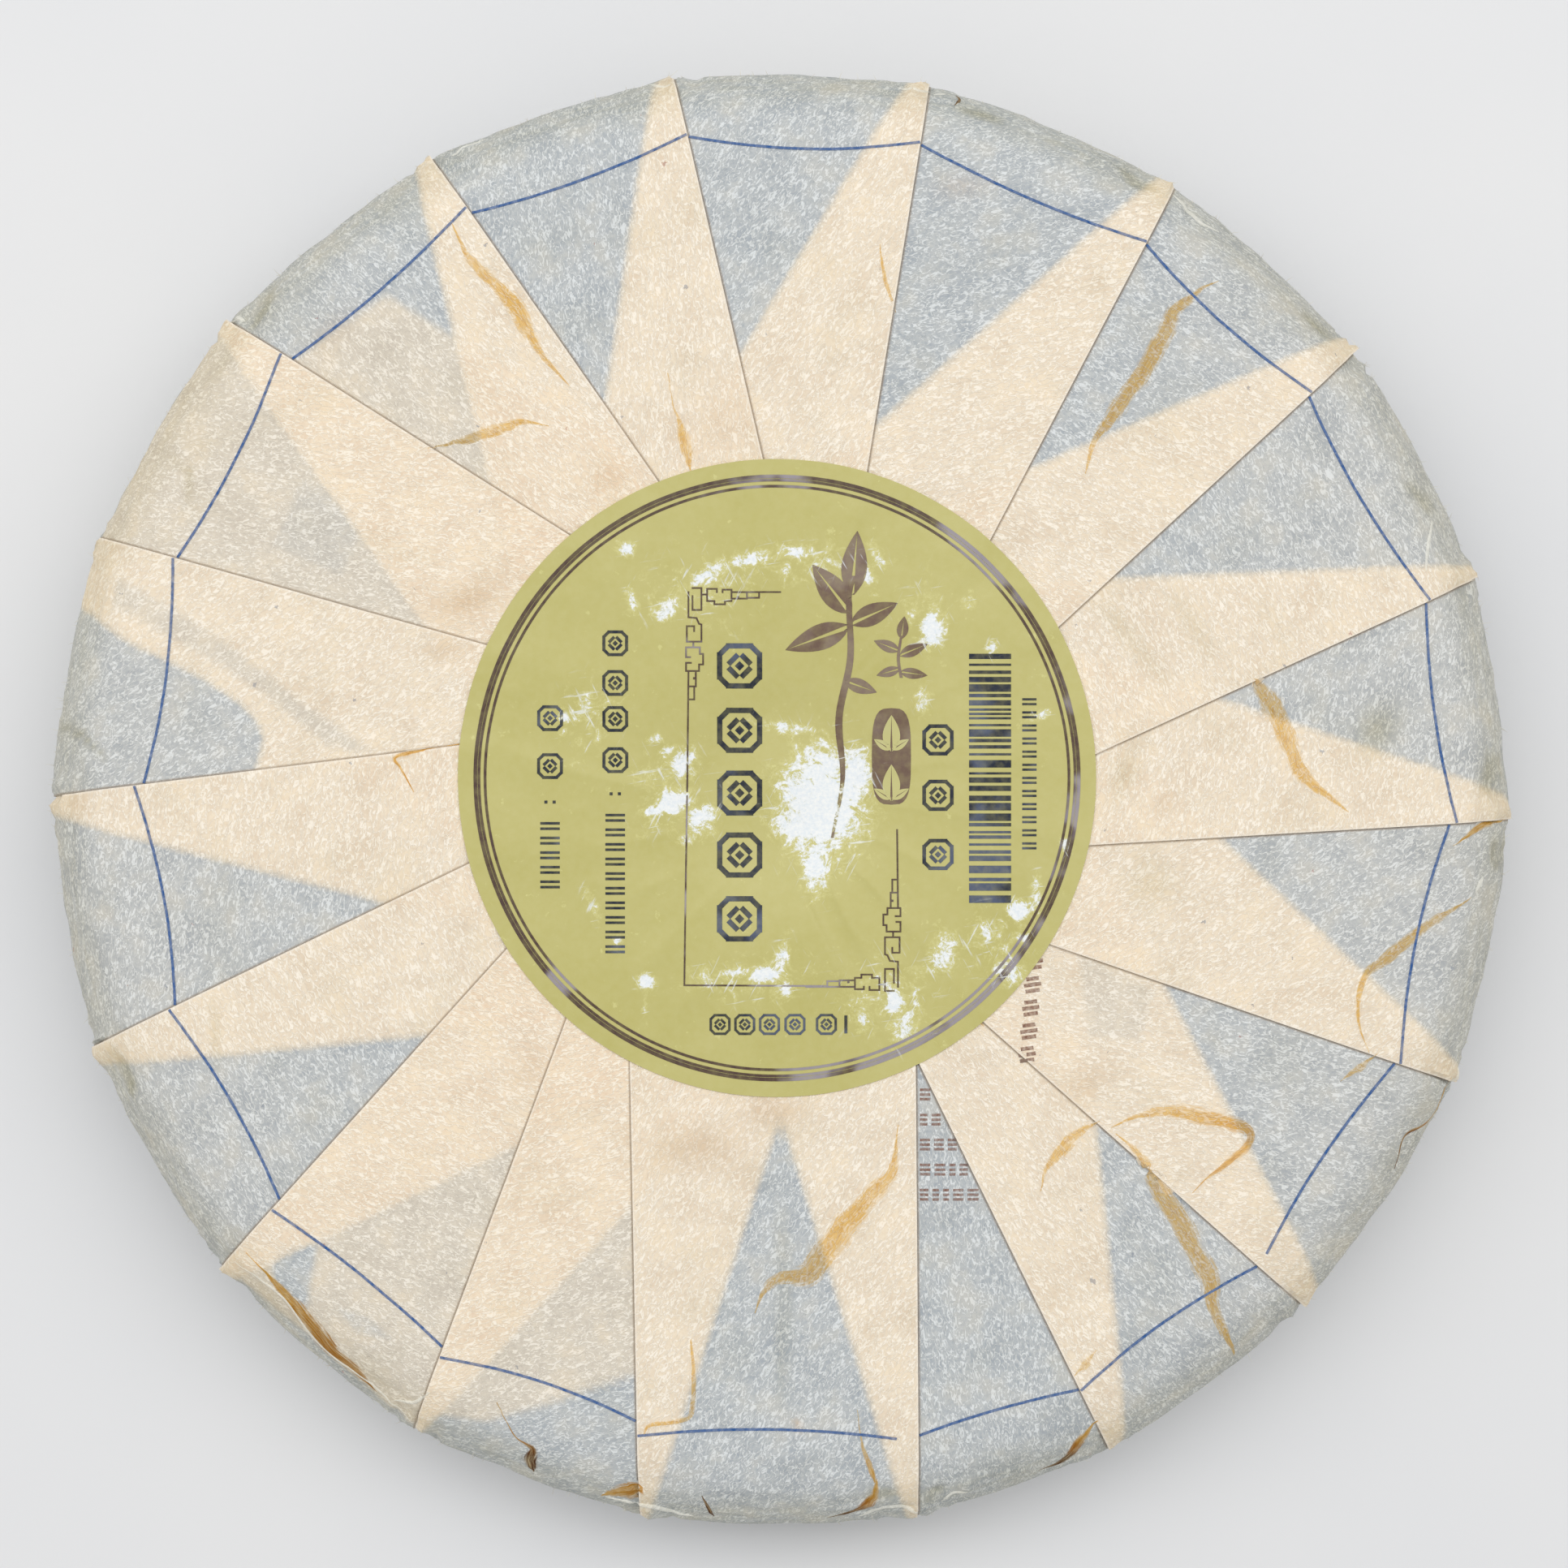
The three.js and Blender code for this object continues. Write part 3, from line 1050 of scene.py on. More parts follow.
@dataclass
class RibbonMaker:
    """Lays flat strips with a low crown on a surface, all in one closed mesh.

    The lift is how far a strip's edges lie over the surface, and the sink is how far its underside
    lies below it.
    """

    skin: Skin
    crown: float
    lift: float = 0.02
    sink: float = 0.08
    points: list[Vector] = field(default_factory=list)
    faces: Faces = field(default_factory=list)
    values: dict[str, list[float]] = field(default_factory=dict)

    def lay(self, route: list[Vector], widths: Array, tones: Array, rows: int = 5) -> None:
        """Adds one strip.

        Args:
            route: Places on or near the surface.
            widths: The strip's width at each place.
            tones: A number kept at each place, such as how dark the strip is.
            rows: How many points lie across its top.
        """
        first = len(self.points)
        shares = np.linspace(-1.0, 1.0, rows)
        length = 0.0
        for step, place in enumerate(route):
            ahead, behind = route[min(step + 1, len(route) - 1)], route[max(step - 1, 0)]
            spot, normal, _ = self.skin.nearest(place)
            side = (ahead - behind).cross(normal).normalized()
            length += (place - behind).length if step else 0.0
            bottoms: list[Vector] = []
            for share in shares:
                edge, up, _ = self.skin.nearest(spot + side * (0.5 * widths[step] * share))
                crown = self.crown * min(1.0, widths[step]) * (1.0 - share * share)
                self.points.append(edge + up * (self.lift + crown))
                if abs(share) == 1.0:
                    bottoms.append(edge - up * self.sink)
            self.points.extend(reversed(bottoms))
            ends, half = [*shares, 1.0, -1.0], 0.5 * float(widths[step])
            for name, kept in (
                ("across", ends),
                ("aside", [half * share for share in ends]),
                ("along", [length] * len(ends)),
                ("tone", [float(tones[step])] * len(ends)),
            ):
                self.values.setdefault(name, []).extend(kept)
        self.faces.extend(tube_faces(first, len(route), rows + 2))

    def piece(self, name: str) -> Piece:
        """Makes the strips into one piece that carries the surface's values and its own.

        Args:
            name: The piece's name.

        Returns:
            The piece.
        """
        points = np.array([list(place) for place in self.points])
        made = mesh_piece(name, points, self.faces, crease=50.0)
        write_values(made, self.skin.sample(points))
        write_values(made, {key: np.array(kept) for key, kept in self.values.items()})
        return made


@dataclass
class BarkStrands:
    """The bark strands that show in the paper."""

    wrapper: PleatedWrapper
    step: float = 0.4
    crown: float = 0.07
    faded_edge: float = 2.1
    tail_width: float = 0.16
    swelling: tuple[int, float, float] = (9, 0.8, 1.15)
    ripple: tuple[int, float, float] = (40, -1, 1)
    ripple_share: float = 0.12
    sway: tuple[int, float, float] = (14, -0.1, 0.1)
    darker_span: Point = (0.15, 0.75)
    rows: int = 7
    seed: int = 21

    def build(self) -> Piece:
        """Lays every strand on the wrapper.

        Returns:
            The piece.
        """
        skin = self.wrapper.skin
        ribbons = RibbonMaker(skin, self.crown)
        rng = np.random.default_rng(self.seed)
        for strand in STRANDS:
            route = along_curve([self.wrapper.eye.hit(skin, pixel) for pixel in strand.route], self.step)
            share = np.linspace(0.0, 1.0, len(route))
            swell = np.sin(np.pi * share**strand.lean) ** strand.taper
            wobble, ripple, sway = (
                np.interp(share, np.linspace(0, 1, knots), rng.uniform(low, high, knots))
                for knots, low, high in (self.swelling, self.ripple, self.sway)
            )
            ripple = 1.0 + self.ripple_share * ripple
            widths = self.tail_width + self.faded_edge * strand.width * swell * wobble * ripple
            moved: list[Vector] = []
            for place, shift in zip(route, sway * strand.width):
                moved.append(place + Vector((shift, -shift, 0.0)))
            tones = strand.tone.value + strand.darker_end * smooth(share, *self.darker_span)
            ribbons.lay(moved, widths, tones, self.rows)
        return ribbons.piece("bark_strands")


@dataclass(frozen=True)
class Ridge:
    """A sharp ridge of folded paper, lightened by a painted highlight: its route in the photograph's
    pixels, and its width.
    """

    route: Route
    width: float


RIDGES = tuple(Ridge(*row) for row in (
    (((1764, 641), (1760, 670), (1757, 704)), 0.45),
    (((596, 165), (575, 180), (557, 192)), 0.45),
    (((1445, 240), (1465, 262), (1480, 275), (1502, 286)), 0.6),
    (((745, 1843), (800, 1856), (830, 1862), (855, 1868)), 0.8),
    (((485, 1725), (510, 1728), (530, 1715)), 0.5),
    (((1058, 1868), (1085, 1858), (1120, 1858), (1132, 1868)), 0.8),
    (((800, 105), (815, 107), (827, 104)), 0.5),
    (((1105, 108), (1130, 111), (1146, 114)), 0.5),
    (((1150, 117), (1165, 116)), 0.5),
    (((283, 397), (292, 392), (302, 396)), 0.6),
    (((1160, 1850), (1175, 1839), (1192, 1839)), 0.5),
    (((1818, 1100), (1824, 1088), (1828, 1080)), 0.5),
    (((289, 1554), (349, 1599), (394, 1656), (460, 1707), (508, 1752)), 0.5),
    (((1788, 1336), (1798, 1330), (1806, 1318)), 0.9),
))


@dataclass
class FoldedRidges:
    """The sharp ridges where the paper is crumpled, which their material lightens as a painted highlight."""

    wrapper: PleatedWrapper
    step: float = 0.35
    crown: float = 0.22
    tail_width: float = 0.1
    swell_power: float = 0.7

    def build(self) -> Piece:
        """Lays every ridge on the wrapper.

        Returns:
            The piece.
        """
        skin = self.wrapper.skin
        ribbons = RibbonMaker(skin, self.crown)
        for ridge in RIDGES:
            route = along_curve([self.wrapper.eye.hit(skin, pixel) for pixel in ridge.route], self.step)
            swell = np.sin(np.pi * np.linspace(0.0, 1.0, len(route))).clip(0.0) ** self.swell_power
            ribbons.lay(route, self.tail_width + ridge.width * swell, np.ones(len(route)))
        return ribbons.piece("folded_creases")


@dataclass
class GuideLine:
    """The thin printed ring on the flat sheet, which the pleats break into arcs."""

    wrapper: PleatedWrapper
    width: float = 0.34
    lift: float = 0.1
    step: float = 0.5
    clear: float = 0.12
    late_start: tuple[int, float] = (8, 3.0)
    early_end: tuple[int, float] = (5, 2.0)

    def build(self) -> Piece:
        """Lays one arc on each pleat.

        Returns:
            The piece.
        """
        form = self.wrapper.form
        ribbons = RibbonMaker(self.wrapper.skin, crown=0.0, lift=self.lift)
        for index, pleat in enumerate(PLEATS):
            start_rise = math.sqrt(pleat.line_start - pleat.line_low)
            end_rise = math.sqrt(pleat.line_end - pleat.line_low)
            start = float(form.fold_direction(index, np.array([pleat.line_start]))[0])
            end = float(form.fold_direction(index + 1, np.array([pleat.line_end]))[0])
            start += (self.late_start[1] if index == self.late_start[0] else self.clear) / pleat.line_start
            end -= (self.early_end[1] if index == self.early_end[0] else self.clear) / pleat.line_end
            count = int((end - start) * pleat.line_low / self.step)
            route: list[Vector] = []
            for share in np.linspace(0.0, 1.0, count):
                rise = share * (start_rise + end_rise) - start_rise
                radius = pleat.line_low + rise * rise
                direction = start + (end - start) * share
                x, y = radius * math.sin(direction), radius * math.cos(direction)
                route.append(self.wrapper.skin.below(x, y))
            ribbons.lay(route, np.full(count, self.width), np.ones(count), rows=3)
        return ribbons.piece("printed_ring_line")


def turned_about(x: float, y: float, degrees: float, places: list[Point]) -> list[Point]:
    """Places turned anticlockwise by degrees, and moved to lie about a point."""
    cos, sin = math.cos(math.radians(degrees)), math.sin(math.radians(degrees))
    return [(x + a * cos - b * sin, y + a * sin + b * cos) for a, b in places]


@dataclass
class Shapes:
    """Flat shapes in one plane, gathered to be laid on a surface as one thin piece.

    An edge over the longest one is split, so that the shapes can follow the surface.
    """

    longest_edge: float = 1.2
    points: list[Point] = field(default_factory=list)
    faces: Faces = field(default_factory=list)
    oval_sides: int = 28
    ring_sides: int = 220
    leaf_steps: int = 12
    leaf_midrib: float = 0.035
    least_bulge: float = 0.02
    most_splits: int = 5

    def polygon(self, outline: list[Point]) -> None:
        """Adds a filled outline.

        Args:
            outline: Its corners, clockwise or anticlockwise.
        """
        area = sum(ax * by - bx * ay for (ax, ay), (bx, by) in zip(outline, outline[1:] + outline[:1]))
        first = len(self.points)
        self.points.extend(outline if area > 0 else outline[::-1])
        self.faces.append(list(range(first, first + len(outline))))

    def box(self, x: float, y: float, width: float, height: float, turn: float = 0.0) -> None:
        """Adds a rectangle about a middle point, turned by degrees."""
        a, b = width / 2, height / 2
        self.polygon(turned_about(x, y, turn, [(-a, -b), (a, -b), (a, b), (-a, b)]))

    def oval(self, x: float, y: float, half_width: float, half_height: float, power: float) -> None:
        """Adds an oval.

        Args:
            x, y: Its middle.
            half_width, half_height: Its half sizes.
            power: 2 for a true oval, and more for a squarer one.
        """
        outline: list[Point] = []
        for turn in np.linspace(0.0, TURN, self.oval_sides, endpoint=False):
            cos, sin = math.cos(turn), math.sin(turn)
            outline.append((x + half_width * math.copysign(abs(cos) ** (2 / power), cos),
                            y + half_height * math.copysign(abs(sin) ** (2 / power), sin)))
        self.polygon(outline)

    def band(self, left: list[Point], right: list[Point], closed: bool) -> None:
        """Adds a strip between two rows of points.

        Args:
            left: Points along the strip's left side.
            right: As many points along its right side.
            closed: Whether the last pair joins the first.
        """
        first, count = len(self.points), len(left)
        self.points.extend([*left, *right])
        for k in range(count if closed else count - 1):
            following = (k + 1) % count
            self.faces.append([first + k, first + count + k, first + count + following, first + following])

    def ring(self, x: float, y: float, inner: float, outer: float) -> None:
        """Adds a ring.

        Args:
            x, y: Its middle.
            inner, outer: Its radii.
        """
        turns = np.linspace(0.0, TURN, self.ring_sides, endpoint=False)
        circle = [(math.cos(turn), math.sin(turn)) for turn in turns]
        sides = [[(x + radius * a, y + radius * b) for a, b in circle] for radius in (inner, outer)]
        self.band(*sides, closed=True)

    def stroke(self, route: list[Point], width: float) -> None:
        """Adds a line of one width with mitred corners.

        Args:
            route: The points along its middle.
            width: Its width.
        """
        left: list[Point] = []
        right: list[Point] = []
        for k, (x, y) in enumerate(route):
            before, after = route[max(k - 1, 0)], route[min(k + 1, len(route) - 1)]
            normals: list[Array] = []
            for (ax, ay), (bx, by) in ((before, (x, y)), ((x, y), after)):
                length = math.hypot(bx - ax, by - ay)
                if length > 1e-9:
                    normals.append(np.array([-(by - ay), bx - ax]) / length)
            mitre = sum(normals) / np.linalg.norm(sum(normals))
            reach = 0.5 * width / max(0.4, float(mitre @ normals[0]))
            left.append((x + mitre[0] * reach, y + mitre[1] * reach))
            right.append((x - mitre[0] * reach, y - mitre[1] * reach))
        self.band(left, right, closed=False)

    def leaf(self, x: float, y: float, length: float, width: float, turn: float) -> None:
        """Adds a pointed leaf in two halves with a bare midrib between, from its foot outwards.

        Args:
            x, y: Its foot.
            length, width: Its size, from foot to tip and at its widest.
            turn: Its direction in degrees, anticlockwise from +X.
        """
        shares = np.linspace(0.0, 1.0, self.leaf_steps)
        bulge = 0.5 * width * np.sin(np.pi * shares**0.8) ** 0.9
        for hand in (1, -1):
            rib = self.leaf_midrib * length * (1 - shares) * hand
            edge = hand * (bulge + self.least_bulge)
            sides = [turned_about(x, y, turn, list(zip(shares * length, side))) for side in (edge, rib)]
            self.band(*sides[::hand], closed=False)

    def split(self) -> tuple[Array, Faces]:
        """Cuts the shapes into small triangles, so that they can follow a surface.

        Returns:
            The triangles' points, and each triangle as its points' places in that list.
        """
        mesh = bmesh.new()
        corners = [mesh.verts.new((x, y, 0.0)) for x, y in self.points]
        for face in self.faces:
            mesh.faces.new([corners[k] for k in face])
        bmesh.ops.triangulate(mesh, faces=mesh.faces[:])
        for _ in range(self.most_splits):
            long_edges = [edge for edge in mesh.edges if edge.calc_length() > self.longest_edge]
            if not long_edges:
                break
            bmesh.ops.subdivide_edges(mesh, edges=long_edges, cuts=1)
            bmesh.ops.triangulate(mesh, faces=mesh.faces[:])
        mesh.verts.index_update()
        points = np.array([list(vertex.co) for vertex in mesh.verts])
        faces = [[vertex.index for vertex in face.verts] for face in mesh.faces]
        mesh.free()
        return points, faces

    def lay(self, name: str, skin: Skin, lift: float, sink: float) -> tuple[Piece, Array]:
        """Lays the shapes on a surface as a thin closed piece.

        Args:
            name: The piece's name.
            skin: The surface.
            lift: How far its top lies over the surface.
            sink: How far its underside lies below the surface.

        Returns:
            The piece and its points in millimetres.
        """
        flat, faces = self.split()
        tops = np.array([[x, y, skin.below(x, y).z + lift] for x, y, _ in flat])
        points = np.concatenate([tops, tops - [0.0, 0.0, lift + sink]])
        count = len(tops)
        sides: dict[tuple[int, int], tuple[int, int]] = {}
        for face in faces:
            for a, b in zip(face, face[1:] + face[:1]):
                if (b, a) in sides:
                    del sides[(b, a)]
                else:
                    sides[(a, b)] = (a, b)
        walls = [[b, a, a + count, b + count] for a, b in sides.values()]
        under = [[k + count for k in reversed(face)] for face in faces]
        return mesh_piece(name, points, faces + under + walls, crease=40.0), points


@dataclass(frozen=True)
class PalePatch:
    """A pale patch of the label, print rubbed away and painted glare: its middle and half sizes from
    the label's centre, and its strength.
    """

    x: float
    y: float
    half_width: float
    half_height: float
    strength: float = 1.0
    turn: float = 0.0


# The label's pale patches: print rubbed away, and painted glare and glints where the light catches it, among
# them glints on the ring.
PALE_PATCHES = tuple(PalePatch(*row) for row in (
    (6, -3.4, 5.8, 7.5, 1.15), (10.5, 0.8, 2.6, 3.5, 1.0), (1.8, -5.6, 3, 3.2, 0.95),
    (5.2, -12.8, 2.2, 3.6, 0.85), (1.5, 6.8, 4.5, 1, 0.8, -8), (-14.8, 22.8, 2.6, 1.6, 0.8, 40),
    (-9, 27.3, 3.6, 1.3, 0.9, 35), (-3.4, 29.3, 3.4, 1.1, 0.85, 10), (2.5, 30.2, 3.2, 1.2, 0.8),
    (8, 28.5, 2.5, 0.9, 0.6, -15), (12.2, 26.8, 1.2, 2, 0.75, 25), (-12.6, 1.8, 1.8, 2.6, 0.9),
    (-13.6, -3, 3.2, 2.2, 0.95), (-10, -5.6, 2.2, 2.4, 0.9), (-16.6, -4.6, 2, 0.9, 0.8),
    (-16.4, 5.2, 1.2, 0.8, 0.75), (-14.5, 3.6, 1.6, 1, 0.7, 30), (-12, -8, 1.5, 1, 0.7),
    (-1.6, -26.2, 2.8, 1.5, 1.0), (-5.6, -26, 3.2, 0.8, 0.8, 8), (0.6, -24, 1.4, 2.6, 0.8, -15),
    (1.2, -28.2, 1, 1.2, 0.8), (-17.4, -27.3, 1.4, 1.1, 1.05), (-17.6, -30.5, 0.5, 3, 0.6),
    (20.9, 20.4, 1.7, 3.4, 0.95, -10), (22.4, -23.4, 2.2, 3.2, 0.8, -20), (20.6, -25.8, 1.5, 1, 0.7),
    (32.2, -17.6, 1.6, 1.4, 1.1), (15.6, -29.9, 1.4, 2, 1.0), (14.6, -27.4, 2.5, 1.2, 0.6),
    (-25.6, 9.8, 1.3, 3.6, 0.7, -40), (-28.5, 8, 0.8, 0.8, 0.9), (-20.4, 30.5, 1.6, 1.6, 0.72),
    (-19.3, 23.8, 1, 2.6, 0.68, 20), (13.2, 29.5, 1, 2.4, 0.7, 20), (19.5, 10.4, 1.2, 2.4, 0.72),
    (35, 8.4, 1.6, 0.8, 0.8, 20), (38.5, -9, 0.8, 1.4, 0.85), (34.6, -16.2, 1, 3, 0.8),
    (31, -26, 2.5, 2.5, 0.7), (17, -33, 2, 3.4, 0.75, -20), (11.5, -32, 1.2, 2.4, 0.7),
    (-24.5, -17, 1, 3.4, 0.62, 25), (-21.2, -21.6, 0.7, 0.7, 0.9), (25.5, 23.5, 1.5, 1, 0.6),
    (28.8, 17.2, 1, 1.2, 0.8), (27.9, -20.7, 0.6, 2.6, 0.75, 24), (18.5, -28.3, 0.45, 3.3, 0.75),
    (34.8, -13.9, 0.6, 1.9, 0.7), (32.6, -21.3, 1.3, 0.9, 0.9), (29.6, -25.6, 1.2, 1, 0.85),
    (-14, -2, 6, 7, 0.5), (-3, -27, 10, 3.5, 0.5), (15, -29, 8, 6, 0.5), (-25, 8, 5, 6, 0.45),
    (-11, 25, 8, 5, 0.5), (29, -22, 7, 5, 0.45), (4, 29, 9, 3, 0.5), (19.5, 22, 4, 5, 0.45),
))


@dataclass
class RoundLabel:
    """The round label: a thin disc draped over the gathered pleats."""

    wrapper: PleatedWrapper
    radius: float = 42.6
    thickness: float = 0.14
    clear: float = 0.03
    rings: int = 84
    columns: int = 420
    spread: int = 14
    fine_crease: float = 0.02
    crease_lumps: Lumps = Lumps(31, (4.0, 9.0, 1.0))
    first_ring: float = 0.6
    hidden_ring_step: int = 8
    patch_softness: float = 0.7
    skin: Skin | None = field(default=None, init=False)

    @property
    def centre(self) -> Point:
        """The label's centre."""
        return self.wrapper.form.label_centre

    def wear_and_glare(self, x: Array, y: Array) -> Array:
        """How strong the pale patches are, print rubbed away and painted glare, from 0 to about 1.

        Args:
            x, y: Places in millimetres.

        Returns:
            The wear for each place.
        """
        total = np.zeros(np.shape(x))
        for patch in PALE_PATCHES:
            turn = math.radians(patch.turn)
            dx, dy = x - self.centre[0] - patch.x, y - self.centre[1] - patch.y
            along = (dx * math.cos(turn) + dy * math.sin(turn)) / patch.half_width
            aside = (dy * math.cos(turn) - dx * math.sin(turn)) / patch.half_height
            worn_and_glinting = patch.strength * np.exp(-self.patch_softness * (along**2 + aside**2))
            total = np.maximum(total, worn_and_glinting)
        return total

    def drape(self, heights: Array) -> Array:
        """Eases the heights under the label as a stiff sheet does, and keeps it off what lies below.

        Args:
            heights: The wrapper's heights, rings by columns.

        Returns:
            The label's underside, of the same shape.
        """
        eased = heights.copy()
        for _ in range(self.spread):
            around = 0.25 * (np.roll(eased, 1, axis=1) + np.roll(eased, -1, axis=1)) + 0.5 * eased
            padded = np.pad(around, ((1, 1), (0, 0)), mode="edge")
            eased = np.maximum(0.25 * (padded[:-2] + padded[2:]) + 0.5 * around, heights)
        return eased + self.clear

    def build(self) -> Piece:
        """Makes the label's mesh, and keeps its face for the print.

        Returns:
            The piece.
        """
        radii = np.linspace(self.first_ring, self.radius, self.rings)[:, None]
        turns = np.linspace(0.0, TURN, self.columns, endpoint=False)[None, :]
        x, y = self.centre[0] + radii * np.sin(turns), self.centre[1] + radii * np.cos(turns)
        found = [self.wrapper.skin.below(a, b).z for a, b in zip(x.ravel(), y.ravel())]
        under = self.drape(np.array(found).reshape(x.shape))
        lumps = self.crease_lumps.at(turns * 12.0 + 0 * radii, radii + 0 * turns, 0 * x)
        crease = np.maximum(1.0 - 2.0 * np.abs(lumps), 0.0) ** 2
        over = under + self.thickness + self.fine_crease * crease
        lower, upper = np.stack([x, y, under], 2), np.stack([x, y, over], 2)
        grid = np.concatenate([lower[::self.hidden_ring_step], lower[-1:], upper[::-1]])
        ends = [[*self.centre, under[0].mean()], [*self.centre, over[0].mean()]]
        points = np.concatenate([grid.reshape(-1, 3), ends])
        faces = closed_faces(len(grid), self.columns)
        piece = mesh_piece("round_label_sheet", points, faces, crease=38.0)
        values = {"wear_and_glare": self.wear_and_glare(points[:, 0], points[:, 1])}
        write_values(piece, values)
        self.skin = Skin(points, faces, values)
        return piece


class Ink(Enum):
    """The label's inks."""

    BROWN = "brown"
    NAVY = "navy"
    TEA = "tea"
    GOLD = "gold"


# The fret in the frame's top left corner, as lines and dots in the photograph's pixels.
FRET_LINES = (
    ((848, 729), (848, 761), (858, 762), (861, 769), (864, 770), (864, 791), (846, 791), (846, 772),
     (855, 772), (855, 779)),
    ((852, 725), (864, 725), (864, 752), (853, 752), (853, 734)),
    ((864, 733), (871, 733)),
    ((883, 731), (883, 726), (871, 726), (871, 741), (880, 741), (880, 745), (893, 745), (893, 741),
     (901, 741), (901, 727), (890, 727), (890, 731)),
    ((901, 730), (962, 730)),
    ((901, 738), (920, 738), (920, 730)),
    ((920, 737), (935, 737), (935, 730)),
    ((854, 791), (854, 798)),
    ((851, 810), (845, 810), (845, 798), (862, 798), (862, 806), (866, 806), (866, 819), (861, 819),
     (861, 827), (845, 827), (845, 817), (852, 817)),
    ((857, 827), (857, 846), (848, 846)),
    ((855, 846), (855, 862), (848, 862)),
)
FRET_DOTS = ((909, 736), (855, 836))

# The frame's plain lines, and the sum of a pixel and the one across from it in the opposite corner.
FRAME_LINES = (((848, 827), (843, 1214), (1019, 1215)), ((1106, 1119), (1105, 1022)))
OPPOSITE_CORNER = (1954, 1946)


@dataclass(frozen=True)
class Sprig:
    """A tea sprig: its stem's places and widths from the foot up, and its leaves.

    A leaf has the x and y of its foot, its length and width, and its direction in degrees.
    """

    stem: Route
    widths: Numbers
    leaves: tuple[Numbers, ...]


@dataclass
class LabelPrint:
    """The label's print: three rings, a fret frame, tea sprigs and plain marks in columns."""

    label: RoundLabel
    ring_bands: Route = ((39.62, 39.98), (40.04, 40.52), (38.80, 39.16))
    line_width: float = 0.22
    dot_side: float = 0.3
    lift: float = 0.045
    second_lift: float = 0.065
    sink: float = 0.06
    fine_edge: float = 0.8
    seed: int = 5
    middle_pixel: Point = (957.0, 959.0)
    pixels_per_mm: float = 9.22
    tile_bars: tuple[Triple, ...] = ((0, 0.92, 1.25), (45, 0.42, 0.62), (45, 1.02, 0.5))
    sprigs: tuple[Sprig, ...] = (
        Sprig(
            ((7.4, -8), (8.8, 0), (8.3, 8), (9.8, 16), (9.6, 24), (10.3, 27)),
            (0.35, 0.55, 0.95, 0.95, 0.8, 0.7),
            ((10, 24.5, 8.5, 3.4, 85), (9.8, 22, 8.2, 3.6, 128), (9.6, 20.2, 9, 3.4, 200),
             (9.9, 20.6, 6.8, 2.8, 24), (9.1, 13, 4.5, 1.9, -20)),
        ),
        Sprig(
            ((16.6, 13.4), (16.2, 16), (16.6, 19)), (0.4, 0.4, 0.3),
            ((16.6, 18.6, 3, 1.5, 82), (16.3, 17, 3.6, 1.5, 158), (16.4, 16.4, 4, 1.6, 22),
             (16.4, 14.6, 3.2, 1.3, 196), (16.5, 14.2, 3.6, 1.4, -8)),
        ),
    )
    seal: Numbers = (15.3, 2.9, 2.6, 6.45, 3.4)
    seal_feet: Numbers = (6, -0.6)
    seal_leaves: tuple[Numbers, ...] = (
        (15.3, -2.4, 4.8, 2.3, 90), (15.2, -2.2, 2.6, 1.1, 148), (15.4, -2.2, 2.6, 1.1, 32),
    )

    # Columns of lattice tiles: the column's x, the tiles' heights and half a tile's side.
    tile_columns: tuple[tuple[float, Numbers, float], ...] = (
        (-5.0, (15.0, 6.4, -2.0, -10.3, -18.8), 2.9),
        (21.5, (5.1, -2.3, -10.2), 2.0),
    )
    # Columns of bars, as bar_pairs takes them, and the tiles at the head of the first two.
    bar_columns: tuple[Numbers, ...] = (
        (-21.6, -5.3, -24.2, 1.95, 0.36, 2.6, 0.34),
        (-30.3, -6.4, -15.4, 1.95, 0.36, 2.6, 0.34),
        (33.7, 10.2, -10.6, 1.75, 0.32, 1.9, 0.3),
    )
    column_heads: tuple[Numbers, ...] = ((18.0, 12.7, 7.9, 2.4), (8.0, 1.6))
    head_half: float = 1.65
    dot_shifts: Point = (-0.55, 0.55)
    dots_above: float = 3.2
    dot_size: float = 0.4
    foot_row: Numbers = (-7.6, -4.3, -1.0, 2.4, 6.6)
    foot_half: float = 1.35
    foot_bar: Numbers = (9.2, -32.9, 0.4, 2.4)
    # The block of stripes: its x, its top, its foot and its width.
    stripe_block: Numbers = (28.45, 16.6, -16.4, 5.6)
    stripe_heights: Numbers = (0.3, 0.45, 0.7, 1.0)
    stripe_gaps: Numbers = (0.28, 0.4, 0.62)

    def rings(self) -> Shapes:
        """The double ring near the label's edge, and the thin ring inside it.

        Returns:
            The shapes.
        """
        shapes = Shapes(self.fine_edge)
        for inner, outer in self.ring_bands:
            shapes.ring(0.0, 0.0, inner, outer)
        return shapes

    def on_label(self, pixel: Point) -> Point:
        """A pixel of the photograph as millimetres from the label's centre."""
        column, row = self.middle_pixel
        return (pixel[0] - column) / self.pixels_per_mm, (row - pixel[1]) / self.pixels_per_mm

    def frame(self) -> Shapes:
        """The open frame, with a fret in two opposite corners, the second the first turned half round.

        Returns:
            The shapes.
        """
        shapes = Shapes(self.fine_edge)
        far_column, far_row = OPPOSITE_CORNER
        turned = [[(far_column - x, far_row - y) for x, y in line] for line in FRET_LINES]
        for line in (*FRAME_LINES, *FRET_LINES, *turned):
            shapes.stroke([self.on_label(pixel) for pixel in line], self.line_width)
        for x, y in FRET_DOTS:
            for pixel in ((x, y), (far_column - x, far_row - y)):
                shapes.box(*self.on_label(pixel), self.dot_side, self.dot_side)
        return shapes

